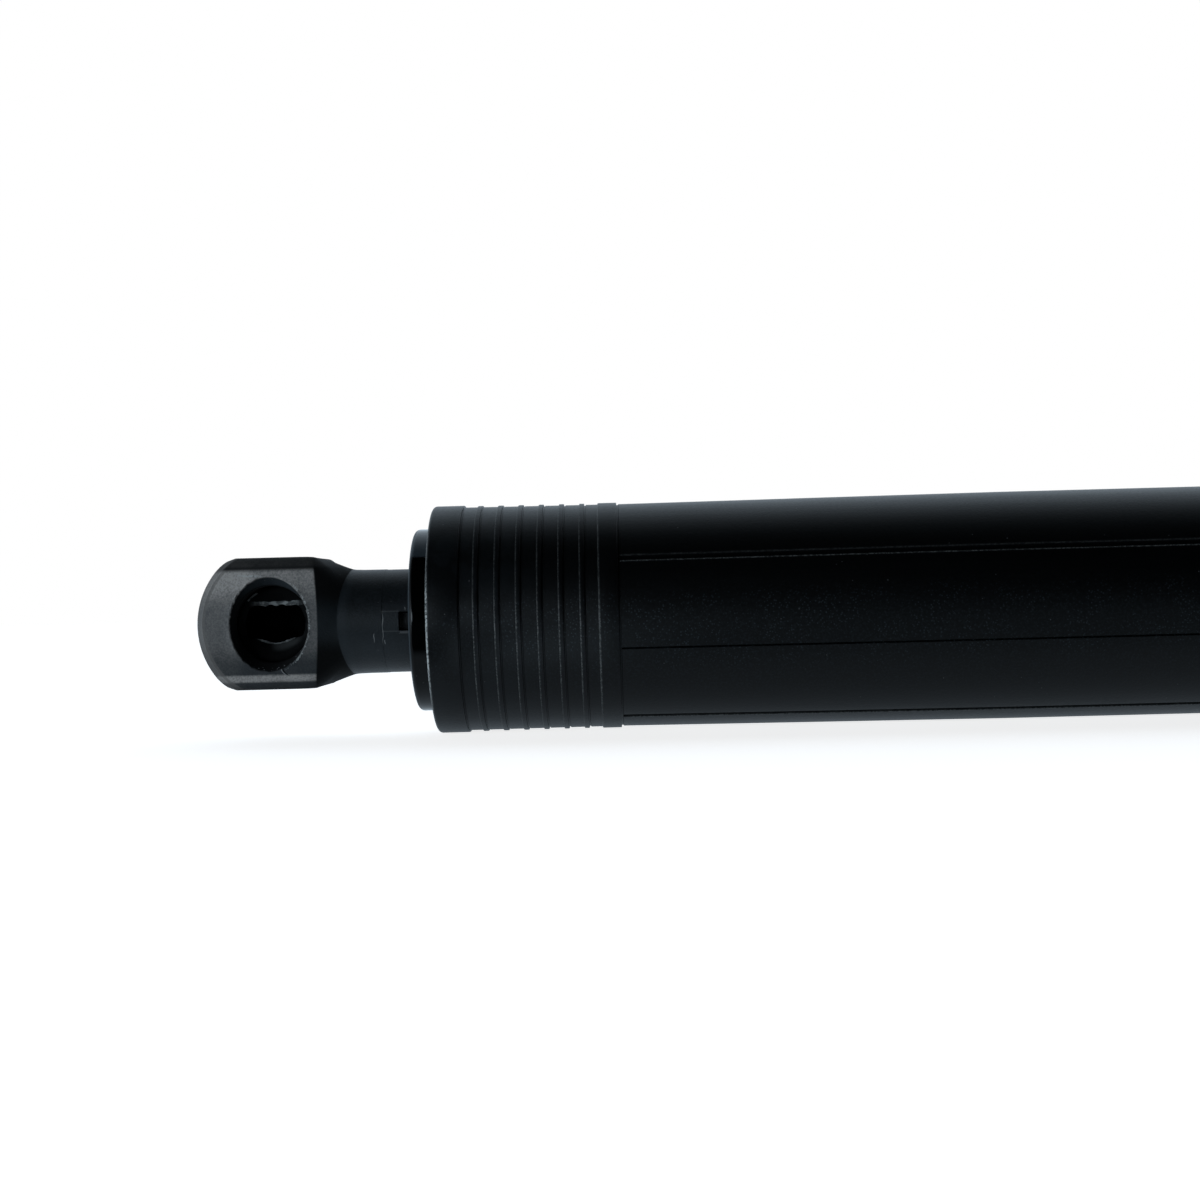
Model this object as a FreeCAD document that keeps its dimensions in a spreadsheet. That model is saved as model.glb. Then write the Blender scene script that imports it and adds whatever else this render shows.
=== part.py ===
import FreeCAD, Part
import math
import operator
import os
from types import SimpleNamespace

import Sketcher
from FreeCAD import Placement, Rotation, Vector

# A telescopic spindle strut that opens a car's liftgate, shown closed.
# The X axis is the strut's own axis, from the rod end to the motor end, and +Z is up.
# The origin is the centre of the rod end's ball, and both socket mouths open towards -Y.

# Driving sizes, in millimetres, degrees and counts
SIZES = {
    # travel
    "stroke": 230.0,
    "stop_gap": 1.0,
    # clearances: pressed or seated, running, and between pieces that move past each other
    "seat_gap": 0.03,
    "running_gap": 0.08,
    "face_gap": 0.3,
    # ball and its socket
    "ball_radius": 5.0,
    "head_half_height": 10.65,
    "head_front": 10.0,
    "head_back": 9.0,
    "head_edge_round": 2.4,
    "nose_radius": 13.3,
    "nose_centre": 1.8,
    "nose_chamfer": 1.0,
    "head_shoulder": 7.0,
    "neck_start": 11.4,
    "neck_radius": 8.4,
    "neck_corner_radius": 8.9,
    "neck_end": 22.7,
    "notch_width": 3.0,
    "notch_length": 2.5,
    "notch_depth": 1.3,
    "shank_radius": 4.0,
    "shank_length": 12.0,
    "mouth_height": 15.05,
    "mouth_oval_depth": 2.2,
    "mouth_bore_radius": 6.25,
    "pocket_behind_ball": 6.75,
    # snap cup in the socket
    "cup_front": 5.1,
    "cup_entry_radius": 4.75,
    "lip_gap": 6.0,
    "lip_thickness": 0.95,
    # sliding inner tube
    "inner_tube_radius": 14.75,
    "inner_tube_wall": 1.25,
    "inner_tube_end_wall": 1.6,
    "inner_tube_rim_chamfer": 0.6,
    "inner_tube_reveal": 2.8,
    "glide_bead_length": 16.0,
    "glide_bead_height": 1.32,
    # rod tube with its keyed guide collar, and the nut inside it
    "rod_tube_radius": 7.5,
    "rod_tube_wall": 1.2,
    "rod_tube_plug": 13.0,
    "guide_collar_radius": 8.4,
    "nut_length": 26.0,
    "nut_standoff": 6.0,
    "key_width": 2.0,
    "key_height": 0.6,
    "nut_stop_gap": 10.0,
    # guide housing: the tube round the rod tube, the bearing's seat and the ring gear
    "guide_tube_wall": 1.6,
    "guide_overlap": 2.0,
    "guide_bore_end": 6.0,
    "flange_web": 2.0,
    "flange_web_bore": 6.0,
    # spindle and its bearing
    "spindle_radius": 5.0,
    "spindle_lead_in": 8.0,
    "spindle_shoulder_gap": 0.5,
    "spindle_spigot_radius": 3.0,
    "bearing_bore_radius": 4.0,
    "bearing_radius": 8.0,
    "bearing_width": 5.0,
    # compression spring
    "spring_wire": 2.6,
    # outer housing
    "housing_tube_wall": 0.85,
    "sleeve_front_wall": 0.97,
    "sleeve_wall": 1.32,
    "sleeve_taper_start": 55.06,
    "sleeve_taper_end": 117.0,
    # collar at the sleeve's mouth, its bands standing over the sleeve's front
    "collar_lip_depth": 2.5,
    "collar_chamfer": 0.6,
    "collar_front_band_height": 0.4,
    "collar_front_band_length": 5.0,
    "collar_base_height": 0.05,
    "collar_rear_band_start": 26.5,
    "collar_rear_band_height": 0.25,
    # planetary gearbox
    "gear_module": 0.75,
    "pressure_angle": 20.0,
    "sun_teeth": 12,
    "planet_teeth": 12,
    "planet_count": 3,
    "tooth_addendum": 0.82,
    "tooth_dedendum": 1.25,
    "tooth_backlash": 0.3,
    "gear_width": 7.0,
    "carrier_thickness": 4.0,
    "carrier_radius": 11.4,
    "carrier_corner_spread": 15.0,
    "planet_pin_radius": 1.5,
    "pin_tail": 0.4,
    "gearbox_tail": 3.1,
    # motor
    "motor_length": 90.0,
    "motor_shaft_radius": 1.5,
    "motor_shaft_depth": 12.0,
    "board_thickness": 1.6,
    "board_width": 20.0,
    "board_height": 15.0,
    "board_pocket_depth": 3.0,
    # end plug and cable gland
    "plug_length": 37.3,
    "plug_flange": 5.3,
    "gland_offset": 12.6,
    "gland_radius": 3.0,
    "gland_bore_radius": 2.25,
    "wire_way_radius": 2.6,
    "gland_reach": 2.0,
    "gland_depth": 8.0,
}

OPERATIONS = {"+": operator.add, "-": operator.sub, "*": operator.mul, "/": operator.truediv}


class Size:
    """A dimension that keeps its number and its formula in the sheet's names together."""

    def __init__(self, number, formula):
        self.number = number
        self.formula = formula

    def __add__(self, other):
        return combined(self, "+", other)

    def __radd__(self, other):
        return combined(other, "+", self)

    def __sub__(self, other):
        return combined(self, "-", other)

    def __rsub__(self, other):
        return combined(other, "-", self)

    def __mul__(self, other):
        return combined(self, "*", other)

    def __rmul__(self, other):
        return combined(other, "*", self)

    def __truediv__(self, other):
        return combined(self, "/", other)

    def __rtruediv__(self, other):
        return combined(other, "/", self)

    def __neg__(self):
        return combined(0, "-", self)


def sized(value):
    """The value itself if it is a dimension, or a bare number made one."""
    if isinstance(value, Size):
        return value
    return Size(float(value), repr(float(value)))


def combined(left, sign, right):
    """Two dimensions joined by a sign, as a number and as a formula."""
    left = sized(left)
    right = sized(right)
    number = OPERATIONS[sign](left.number, right.number)
    return Size(number, f"({left.formula} {sign} {right.formula})")


def sine(angle):
    """The sine of an angle in degrees."""
    angle = sized(angle)
    return Size(math.sin(math.radians(angle.number)), f"sin({angle.formula} * 1 deg)")


def cosine(angle):
    """The cosine of an angle in degrees."""
    angle = sized(angle)
    return Size(math.cos(math.radians(angle.number)), f"cos({angle.formula} * 1 deg)")


def tangent(angle):
    """The tangent of an angle in degrees."""
    angle = sized(angle)
    return Size(math.tan(math.radians(angle.number)), f"tan({angle.formula} * 1 deg)")


def root(area):
    """The square root of a dimension."""
    area = sized(area)
    return Size(math.sqrt(area.number), f"sqrt({area.formula})")


# Document and sheet
document = FreeCAD.newDocument("liftgate_strut")
sheet = document.addObject("Spreadsheet::Sheet", "Sizes")
for row, (alias, amount) in enumerate(SIZES.items(), start=1):
    sheet.set(f"A{row}", alias)
    sheet.set(f"B{row}", str(amount))
    sheet.setAlias(f"B{row}", alias)
document.recompute()
s = SimpleNamespace(**{alias: Size(amount, f"Sizes.{alias}") for alias, amount in SIZES.items()})

# Stations along the axis, from the rod end to the motor end
mouth_front = s.neck_end + s.inner_tube_reveal
housing_tube_left = mouth_front + s.collar_lip_depth
glide_bead_left = housing_tube_left + s.stroke + s.stop_gap
inner_tube_right = glide_bead_left + s.glide_bead_length
nut_left = inner_tube_right + s.nut_standoff
nut_right = nut_left + s.nut_length
rod_tube_left = s.neck_end + s.inner_tube_end_wall
guide_left = nut_left - s.stroke - s.guide_overlap
spindle_left = nut_left - s.stroke - s.spindle_lead_in
flange_left = nut_right + s.nut_stop_gap
bearing_left = flange_left + s.guide_bore_end + s.flange_web
flange_right = bearing_left + s.bearing_width
carrier_left = flange_right + s.face_gap
planets_left = carrier_left + s.carrier_thickness + s.face_gap
motor_left = planets_left + s.gear_width + s.gearbox_tail
motor_right = motor_left + s.motor_length
housing_right = motor_right + s.plug_length
plug_right = housing_right + s.plug_flange
ball_to_ball = plug_right + s.neck_end

# Radii that follow from what a piece fits in
inner_tube_bore = s.inner_tube_radius - s.inner_tube_wall
glide_bead_radius = s.inner_tube_radius + s.glide_bead_height
housing_bore = glide_bead_radius + s.running_gap
housing_tube_radius = housing_bore + s.housing_tube_wall
seated_radius = housing_bore - s.seat_gap
sleeve_bore = housing_tube_radius + s.seat_gap
sleeve_front_radius = sleeve_bore + s.sleeve_front_wall
sleeve_radius = sleeve_bore + s.sleeve_wall
collar_front_band_radius = sleeve_front_radius + s.collar_front_band_height
collar_base_radius = sleeve_front_radius + s.collar_base_height
collar_rear_band_radius = sleeve_front_radius + s.collar_rear_band_height
rod_tube_bore = s.rod_tube_radius - s.rod_tube_wall
guide_bore = s.guide_collar_radius + s.running_gap
guide_radius = guide_bore + s.guide_tube_wall

# Gear sizes
ring_teeth = s.sun_teeth + 2 * s.planet_teeth
sun_pitch_radius = s.gear_module * s.sun_teeth / 2
planet_pitch_radius = s.gear_module * s.planet_teeth / 2
ring_pitch_radius = s.gear_module * ring_teeth / 2
orbit_radius = sun_pitch_radius + planet_pitch_radius
addendum = s.tooth_addendum * s.gear_module
dedendum = s.tooth_dedendum * s.gear_module
half_gap = s.gear_module * math.pi / 4 + s.tooth_backlash / 2


def bind(thing, path, size):
    """Ties one property of a document object to the sheet."""
    thing.setExpression(path, sized(size).formula)


def new_body(label, at=0):
    """An empty body whose own origin stands at the given station."""
    body = document.addObject("PartDesign::Body", label + "_body")
    body.Label = label
    body.Placement = Placement(Vector(sized(at).number, 0, 0), Rotation())
    bind(body, "Placement.Base.x", at)
    return body


def turn(body, axis, angle):
    """Turns a body about its own origin by an angle in degrees."""
    body.Placement = Placement(body.Placement.Base, Rotation(axis, sized(angle).number))
    bind(body, "Placement.Rotation.Angle", angle)


def sketch_on(body, role, name, offset=0):
    """A sketch on one of the body's own origin planes, lifted off it by an offset."""
    sketch = body.newObject("Sketcher::SketchObject", name)
    plane = next(f for f in body.Origin.OriginFeatures if f.Role == role)
    sketch.AttachmentSupport = [(plane, "")]
    sketch.MapMode = "FlatFace"
    sketch.AttachmentOffset = Placement(Vector(0, 0, sized(offset).number), Rotation())
    bind(sketch, "AttachmentOffset.Base.z", offset)
    return sketch


def hold_point(sketch, edge, end, across, up):
    """Fixes one end of a sketch edge by its distances from the sketch's origin."""
    for kind, size in (("DistanceX", sized(across)), ("DistanceY", sized(up))):
        index = sketch.addConstraint(Sketcher.Constraint(kind, edge, end, size.number))
        bind(sketch, f"Constraints[{index}]", size)


def draw_polygon(sketch, corners):
    """A closed outline of straight edges through the corners, each (across, up)."""
    places = [Vector(sized(a).number, sized(b).number, 0) for a, b in corners]
    edges = []
    for place, after in zip(places, places[1:] + places[:1]):
        edges.append(sketch.addGeometry(Part.LineSegment(place, after), False))
    for edge, after in zip(edges, edges[1:] + edges[:1]):
        sketch.addConstraint(Sketcher.Constraint("Coincident", edge, 2, after, 1))
    for edge, (across, up) in zip(edges, corners):
        hold_point(sketch, edge, 1, across, up)


def draw_circle(sketch, radius, across=0, up=0):
    """A circle round a point of the sketch."""
    centre = Vector(sized(across).number, sized(up).number, 0)
    circle = Part.Circle(centre, Vector(0, 0, 1), sized(radius).number)
    edge = sketch.addGeometry(circle, False)
    index = sketch.addConstraint(Sketcher.Constraint("Radius", edge, sized(radius).number))
    bind(sketch, f"Constraints[{index}]", radius)
    hold_point(sketch, edge, 3, across, up)


def draw_box(sketch, low, high):
    """An upright rectangle between two corners."""
    corners = [low, (high[0], low[1]), high, (low[0], high[1])]
    draw_polygon(sketch, corners)


def draw_regular(sketch, sides, reach):
    """A regular polygon whose flats stand at the given reach, with one corner on +Z."""
    corner = reach / cosine(180 / sides)
    count = int(sized(sides).number)
    turns = [k * 360 / sides for k in range(count)]
    draw_polygon(sketch, [(-corner * sine(angle), corner * cosine(angle)) for angle in turns])


def revolved(body, sketch, name, axis="H_Axis"):
    """The sketch turned full circle about one of its own axes."""
    spin = body.newObject("PartDesign::Revolution", name)
    spin.Profile = sketch
    spin.ReferenceAxis = (sketch, [axis])
    spin.Angle = 360
    return spin


def padded(body, sketch, name, length, backwards=False):
    """The sketch raised along its plane's normal, or against it."""
    pad = body.newObject("PartDesign::Pad", name)
    pad.Profile = sketch
    pad.Length = sized(length).number
    pad.Reversed = backwards
    bind(pad, "Length", length)
    return pad


def must_change(body, feature, grows):
    """Recomputes, and stops if a feature left its body's volume as it was."""
    document.recompute()
    change = feature.Shape.Volume - feature.BaseFeature.Shape.Volume
    if (change if grows else -change) < 1e-3:
        raise RuntimeError(f"{feature.Name} leaves {body.Label} as it was")


def pocketed(body, sketch, name, depth, forwards=False):
    """The sketch cut against its plane's normal, or along it."""
    pocket = body.newObject("PartDesign::Pocket", name)
    pocket.Profile = sketch
    pocket.Length = sized(depth).number
    pocket.Reversed = forwards
    bind(pocket, "Length", depth)
    must_change(body, pocket, grows=False)
    return pocket


def repeated(body, feature, name, count, grows):
    """A feature repeated evenly round the body's X axis."""
    pattern = body.newObject("PartDesign::PolarPattern", name)
    pattern.Originals = [feature]
    axis = next(f for f in body.Origin.OriginFeatures if f.Role == "X_Axis")
    pattern.Axis = (axis, [""])
    pattern.Angle = 360
    pattern.Occurrences = int(sized(count).number)
    bind(pattern, "Occurrences", count)
    body.Tip = pattern
    document.recompute()
    change = pattern.Shape.Volume - feature.Shape.Volume
    if (change if grows else -change) < 1e-3:
        raise RuntimeError(f"{name} leaves {body.Label} as it was")
    return pattern


def turned(label, at, corners):
    """A body of revolution about the strut's axis, from the (x, radius) corners of its half section."""
    body = new_body(label, at)
    sketch = sketch_on(body, "XY_Plane", label + "_section")
    draw_polygon(sketch, corners)
    revolved(body, sketch, label + "_turned")
    return body


def ring(label, at, length, bore, radius):
    """A plain ring or tube about the strut's axis."""
    return turned(label, at, [(0, bore), (length, bore), (length, radius), (0, radius)])


# Gears
def tooth_spaces(body, name, teeth, start, depth, internal):
    """Trapezoid tooth spaces cut along X, the first of them on +Z."""
    pitch_radius = s.gear_module * teeth / 2
    if internal:
        slope = -tangent(s.pressure_angle - 90 / teeth)
        near = pitch_radius - addendum - 1
        far = pitch_radius + dedendum
    else:
        slope = tangent(s.pressure_angle + 90 / teeth)
        near = pitch_radius - dedendum
        far = pitch_radius + addendum + 1
    near_half = half_gap + (near - pitch_radius) * slope
    far_half = half_gap + (far - pitch_radius) * slope
    sketch = sketch_on(body, "YZ_Plane", name + "_space", start)
    draw_polygon(sketch, [(-near_half, near), (near_half, near), (far_half, far), (-far_half, far)])
    cut = pocketed(body, sketch, name + "_space_cut", depth, forwards=True)
    repeated(body, cut, name + "_spaces", teeth, grows=False)


def add_gear(body, name, teeth, start, length):
    """A spur gear raised on the body, with one of its tooth spaces on +Z."""
    blank = sketch_on(body, "YZ_Plane", name + "_blank", start)
    draw_regular(blank, teeth, s.gear_module * teeth / 2 + addendum)
    padded(body, blank, name + "_blank_pad", length)
    document.recompute()
    tooth_spaces(body, name, teeth, start, length, internal=False)


# Ball sockets
def join(sketch, kind, edge, after):
    """Joins the end of one sketch edge to the start of the next."""
    sketch.addConstraint(Sketcher.Constraint(kind, edge, 2, after, 1))


def draw_arc(sketch, across, up, radius, start, end):
    """An arc of a bound radius about a centre, from one angle to another."""
    circle = Part.Circle(Vector(across.number, up.number, 0), Vector(0, 0, 1), radius.number)
    arc = Part.ArcOfCircle(circle, math.radians(start), math.radians(end))
    edge = sketch.addGeometry(arc, False)
    index = sketch.addConstraint(Sketcher.Constraint("Radius", edge, radius.number))
    bind(sketch, f"Constraints[{index}]", radius)
    return edge


def draw_bar_section(sketch):
    """The head's cross-section: a rectangle across Y and up Z with rounded corners."""
    left = -s.head_front
    right = s.head_back
    top = s.head_half_height
    r = s.head_edge_round
    sides = [
        ((right, r - top), (right, top - r)),
        ((right - r, top), (left + r, top)),
        ((left, top - r), (left, r - top)),
        ((left + r, -top), (right - r, -top)),
    ]
    centres = [(right - r, top - r), (left + r, top - r), (left + r, r - top), (right - r, r - top)]
    lines = []
    for start, end in sides:
        ends = [Vector(a.number, b.number, 0) for a, b in (start, end)]
        line = sketch.addGeometry(Part.LineSegment(*ends), False)
        hold_point(sketch, line, 1, *start)
        hold_point(sketch, line, 2, *end)
        lines.append(line)
    for quarter, (across, up) in enumerate(centres):
        arc = draw_arc(sketch, across, up, r, 90 * quarter, 90 * quarter + 90)
        join(sketch, "Coincident", lines[quarter], arc)
        join(sketch, "Coincident", arc, lines[(quarter + 1) % 4])


def draw_slot(sketch, radius, spread):
    """Two half circles whose centres stand above and below the origin, joined by straight sides."""
    zero = sized(0)
    upper = draw_arc(sketch, zero, spread, radius, 0, 180)
    lower = draw_arc(sketch, zero, -spread, radius, 180, 360)
    r = radius.number
    reach = spread.number
    left = sketch.addGeometry(Part.LineSegment(Vector(-r, reach, 0), Vector(-r, -reach, 0)), False)
    right = sketch.addGeometry(Part.LineSegment(Vector(r, -reach, 0), Vector(r, reach, 0)), False)
    for edge, after in ((upper, left), (left, lower), (lower, right), (right, upper)):
        join(sketch, "Tangent", edge, after)
    hold_point(sketch, upper, 3, zero, spread)
    hold_point(sketch, lower, 3, zero, -spread)


def round_the_nose(body, label):
    """Cuts the head's free end to an arc about an upright axis, with the rim that the mouth is on chamfered."""
    sketch = sketch_on(body, "XY_Plane", label + "_nose")
    sketch.AttachmentOffset = Placement(Vector(s.nose_centre.number, 0, 0), Rotation())
    bind(sketch, "AttachmentOffset.Base.x", s.nose_centre)
    outside = s.nose_radius + s.head_half_height
    low = -s.head_front
    draw_polygon(sketch, [
        (-s.nose_radius, low + s.nose_chamfer),
        (-s.nose_radius, s.head_back + 1),
        (-outside, s.head_back + 1),
        (-outside, low - 1),
        (s.nose_chamfer - s.nose_radius, low - 1),
        (s.nose_chamfer - s.nose_radius, low),
    ])
    groove = body.newObject("PartDesign::Groove", label + "_nose_cut")
    groove.Profile = sketch
    groove.ReferenceAxis = (sketch, ["V_Axis"])
    groove.Angle = 180
    groove.Midplane = True
    must_change(body, groove, grows=False)


def slope_side(body, name, plane, depth, edge, neck):
    """Cuts one side of the head from its full reach at the shoulder down to the neck's."""
    sketch = sketch_on(body, plane, name, depth)
    draw_polygon(sketch, [
        (s.head_shoulder, edge),
        (s.neck_start, neck),
        (s.neck_start, edge * 2),
        (s.head_shoulder, edge * 2),
    ])
    pocketed(body, sketch, name + "_cut", depth * 2)


def cone_the_corners(body, label):
    """Takes the head's corners off between the shoulder and the neck, as a cone would."""
    corner = s.head_edge_round
    out = s.head_front - corner
    up = s.head_half_height - corner
    reach = root(out * out + up * up) + corner
    sketch = sketch_on(body, "XY_Plane", label + "_corners")
    draw_polygon(sketch, [
        (s.head_shoulder, reach),
        (s.neck_start, s.neck_corner_radius),
        (s.neck_start, reach + 1),
        (s.head_shoulder, reach + 1),
    ])
    groove = body.newObject("PartDesign::Groove", label + "_corners_cut")
    groove.Profile = sketch
    groove.ReferenceAxis = (sketch, ["H_Axis"])
    groove.Angle = 360
    must_change(body, groove, grows=False)


def ball_socket(label, at, turned_about):
    """A moulded socket: block head with a round nose, shoulder, neck, threaded shank and mouth."""
    body = new_body(label, at)
    turn(body, Vector(0, 1, 0), turned_about)
    # The head, a rounded bar from the nose to the neck
    nose_tip = s.nose_centre - s.nose_radius
    bar = sketch_on(body, "YZ_Plane", label + "_bar", nose_tip)
    draw_bar_section(bar)
    padded(body, bar, label + "_head", s.neck_start - nose_tip)
    round_the_nose(body, label)
    # The shoulder
    beyond = s.head_half_height + 1
    slope_side(body, label + "_front", "XY_Plane", beyond, -s.head_front, -s.neck_radius)
    slope_side(body, label + "_back", "XY_Plane", beyond, s.head_back, s.neck_radius)
    slope_side(body, label + "_top", "XZ_Plane", beyond, s.head_half_height, s.neck_radius)
    slope_side(body, label + "_foot", "XZ_Plane", beyond, -s.head_half_height, -s.neck_radius)
    cone_the_corners(body, label)
    # The neck, and the shank that screws into the next piece
    neck = sketch_on(body, "XY_Plane", label + "_neck")
    shank_end = s.neck_end + s.shank_length
    draw_polygon(neck, [
        (s.neck_start, 0),
        (shank_end, 0),
        (shank_end, s.shank_radius),
        (s.neck_end, s.shank_radius),
        (s.neck_end, s.neck_radius),
        (s.neck_start, s.neck_radius),
    ])
    revolved(body, neck, label + "_neck_turned")
    # The keyway notch at the neck's end
    notch = sketch_on(body, "XZ_Plane", label + "_notch", s.neck_radius + 1)
    draw_box(notch, (s.neck_end - s.notch_length, -s.notch_width / 2),
             (s.neck_end, s.notch_width / 2))
    pocketed(body, notch, label + "_notch_cut", s.notch_depth + 1)
    # The mouth: a round bore to the pocket's floor, an oval at the face
    bore = sketch_on(body, "XZ_Plane", label + "_bore", s.head_front)
    draw_circle(bore, s.mouth_bore_radius)
    pocketed(body, bore, label + "_bore_cut", s.head_front + s.pocket_behind_ball)
    face = sketch_on(body, "XZ_Plane", label + "_mouth", s.head_front)
    draw_slot(face, s.mouth_bore_radius, s.mouth_height / 2 - s.mouth_bore_radius)
    pocketed(body, face, label + "_mouth_cut", s.mouth_oval_depth)
    return body


def ball_cup(label, at, turned_about):
    """The snap cup: a bore that the ball fits, with two lips across its front."""
    body = new_body(label, at)
    turn(body, Vector(0, 1, 0), turned_about)
    outer = s.mouth_bore_radius - s.seat_gap
    seat = s.ball_radius + s.running_gap
    section = sketch_on(body, "XY_Plane", label + "_section")
    draw_polygon(section, [
        (0, s.pocket_behind_ball),
        (0, seat),
        (seat, seat),
        (seat, s.lip_thickness - s.cup_front),
        (0, s.lip_thickness - s.cup_front),
        (0, -s.cup_front),
        (outer, -s.cup_front),
        (outer, s.pocket_behind_ball),
    ])
    revolved(body, section, label + "_turned", "V_Axis")
    entry = sketch_on(body, "XZ_Plane", label + "_entry", s.cup_front)
    draw_lipped_circle(entry, s.cup_entry_radius, s.lip_gap / 2)
    pocketed(body, entry, label + "_entry_cut", s.lip_thickness)
    return body


def draw_lipped_circle(sketch, radius, reach):
    """A circle cut off straight at one height above its centre and below it."""
    half = root(radius * radius - reach * reach)
    rise = math.degrees(math.atan2(reach.number, half.number))
    zero = sized(0)
    right = draw_arc(sketch, zero, zero, radius, -rise, rise)
    left = draw_arc(sketch, zero, zero, radius, 180 - rise, 180 + rise)
    w = half.number
    h = reach.number
    upper = sketch.addGeometry(Part.LineSegment(Vector(w, h, 0), Vector(-w, h, 0)), False)
    lower = sketch.addGeometry(Part.LineSegment(Vector(-w, -h, 0), Vector(w, -h, 0)), False)
    for edge, after in ((right, upper), (upper, left), (left, lower), (lower, right)):
        join(sketch, "Coincident", edge, after)
    hold_point(sketch, right, 3, 0, 0)
    hold_point(sketch, left, 3, 0, 0)
    for line, height in ((upper, reach), (lower, -reach)):
        index = sketch.addConstraint(Sketcher.Constraint("DistanceY", line, 1, height.number))
        bind(sketch, f"Constraints[{index}]", height)
        sketch.addConstraint(Sketcher.Constraint("Horizontal", line))


# The rod end: what stays with the tailgate's or the body's first ball
ball_socket("rod_ball_socket", 0, 0)
ball_cup("rod_ball_cup", 0, 0)


def inner_tube():
    """The bright sliding tube: an end wall under the socket's neck, and a bead that guides it."""
    length = inner_tube_right - s.neck_end
    bead = glide_bead_left - s.neck_end
    chamfer = s.inner_tube_rim_chamfer
    turned("inner_tube", s.neck_end, [
        (0, s.shank_radius + s.seat_gap),
        (s.inner_tube_end_wall, s.shank_radius + s.seat_gap),
        (s.inner_tube_end_wall, inner_tube_bore),
        (length, inner_tube_bore),
        (length, glide_bead_radius),
        (bead, glide_bead_radius),
        (bead, s.inner_tube_radius),
        (chamfer, s.inner_tube_radius),
        (0, s.inner_tube_radius - chamfer),
    ])


def rod_tube():
    """The push rod: one end takes the socket's shank, the other is a guide collar with two keys."""
    length = nut_right - rod_tube_left
    collar = nut_left - rod_tube_left
    body = turned("rod_tube", rod_tube_left, [
        (0, s.shank_radius + s.seat_gap),
        (s.rod_tube_plug, s.shank_radius + s.seat_gap),
        (s.rod_tube_plug, rod_tube_bore),
        (length, rod_tube_bore),
        (length, s.guide_collar_radius),
        (collar, s.guide_collar_radius),
        (collar, s.rod_tube_radius),
        (0, s.rod_tube_radius),
    ])
    key = sketch_on(body, "YZ_Plane", "rod_tube_key", collar)
    draw_box(key, (-s.key_width / 2, s.guide_collar_radius - s.key_height),
             (s.key_width / 2, s.guide_collar_radius + s.key_height))
    raised = padded(body, key, "rod_tube_key_pad", s.nut_length)
    must_change(body, raised, grows=True)
    repeated(body, raised, "rod_tube_keys", 2, grows=True)


inner_tube()
rod_tube()
ring("spindle_nut", nut_left, s.nut_length,
     s.spindle_radius + s.running_gap, rod_tube_bore - s.seat_gap)


# The housing: sleeve, steel tube and what they hold
def sleeve_outline():
    """The corners of the sleeve's outside, from its mouth to its far end."""
    collar = s.sleeve_taper_start - mouth_front
    corners = [
        (0, collar_front_band_radius - s.collar_chamfer),
        (s.collar_chamfer, collar_front_band_radius),
        (s.collar_front_band_length, collar_front_band_radius),
        (s.collar_front_band_length, collar_base_radius),
    ]
    corners += [
        (s.collar_rear_band_start, collar_base_radius),
        (s.collar_rear_band_start, collar_rear_band_radius),
        (collar, collar_rear_band_radius),
        (collar, sleeve_front_radius),
        (s.sleeve_taper_end - mouth_front, sleeve_radius),
        (housing_right - mouth_front, sleeve_radius),
    ]
    return corners


def cover_sleeve():
    """The moulded outer sleeve, whose collar guides the inner tube at its mouth."""
    guide = s.inner_tube_radius + s.running_gap
    inside = [
        (housing_right - mouth_front, sleeve_bore),
        (s.collar_lip_depth, sleeve_bore),
        (s.collar_lip_depth, guide),
        (0, guide),
    ]
    turned("cover_sleeve", mouth_front, sleeve_outline() + inside)


def housing_tube():
    """The steel tube with its welded end plug, which has the socket's thread and the cable's way out."""
    end = plug_right - housing_tube_left
    flange = housing_right - housing_tube_left
    plug = motor_right - housing_tube_left
    thread = s.shank_radius + s.seat_gap
    thread_floor = end - s.shank_length - 1
    body = turned("housing_tube", housing_tube_left, [
        (plug, 0),
        (thread_floor, 0),
        (thread_floor, thread),
        (end, thread),
        (end, sleeve_radius),
        (flange, sleeve_radius),
        (flange, housing_tube_radius),
        (0, housing_tube_radius),
        (0, housing_bore),
        (plug, housing_bore),
    ])
    pocket = sketch_on(body, "YZ_Plane", "housing_tube_board_pocket", plug)
    across = s.gland_offset + s.wire_way_radius
    up = s.board_height / 2 + s.seat_gap
    draw_box(pocket, (-s.board_width / 2 - s.seat_gap, -up), (across, up))
    pocketed(body, pocket, "housing_tube_board_pocket_cut", s.board_pocket_depth, forwards=True)
    way = sketch_on(body, "YZ_Plane", "housing_tube_wire_way", end)
    draw_circle(way, s.wire_way_radius, s.gland_offset, 0)
    pocketed(body, way, "housing_tube_wire_way_cut", end - plug - s.board_pocket_depth)
    seat = sketch_on(body, "YZ_Plane", "housing_tube_gland_seat", end)
    draw_circle(seat, s.gland_radius + s.seat_gap, s.gland_offset, 0)
    pocketed(body, seat, "housing_tube_gland_seat_cut", s.gland_depth)


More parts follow.
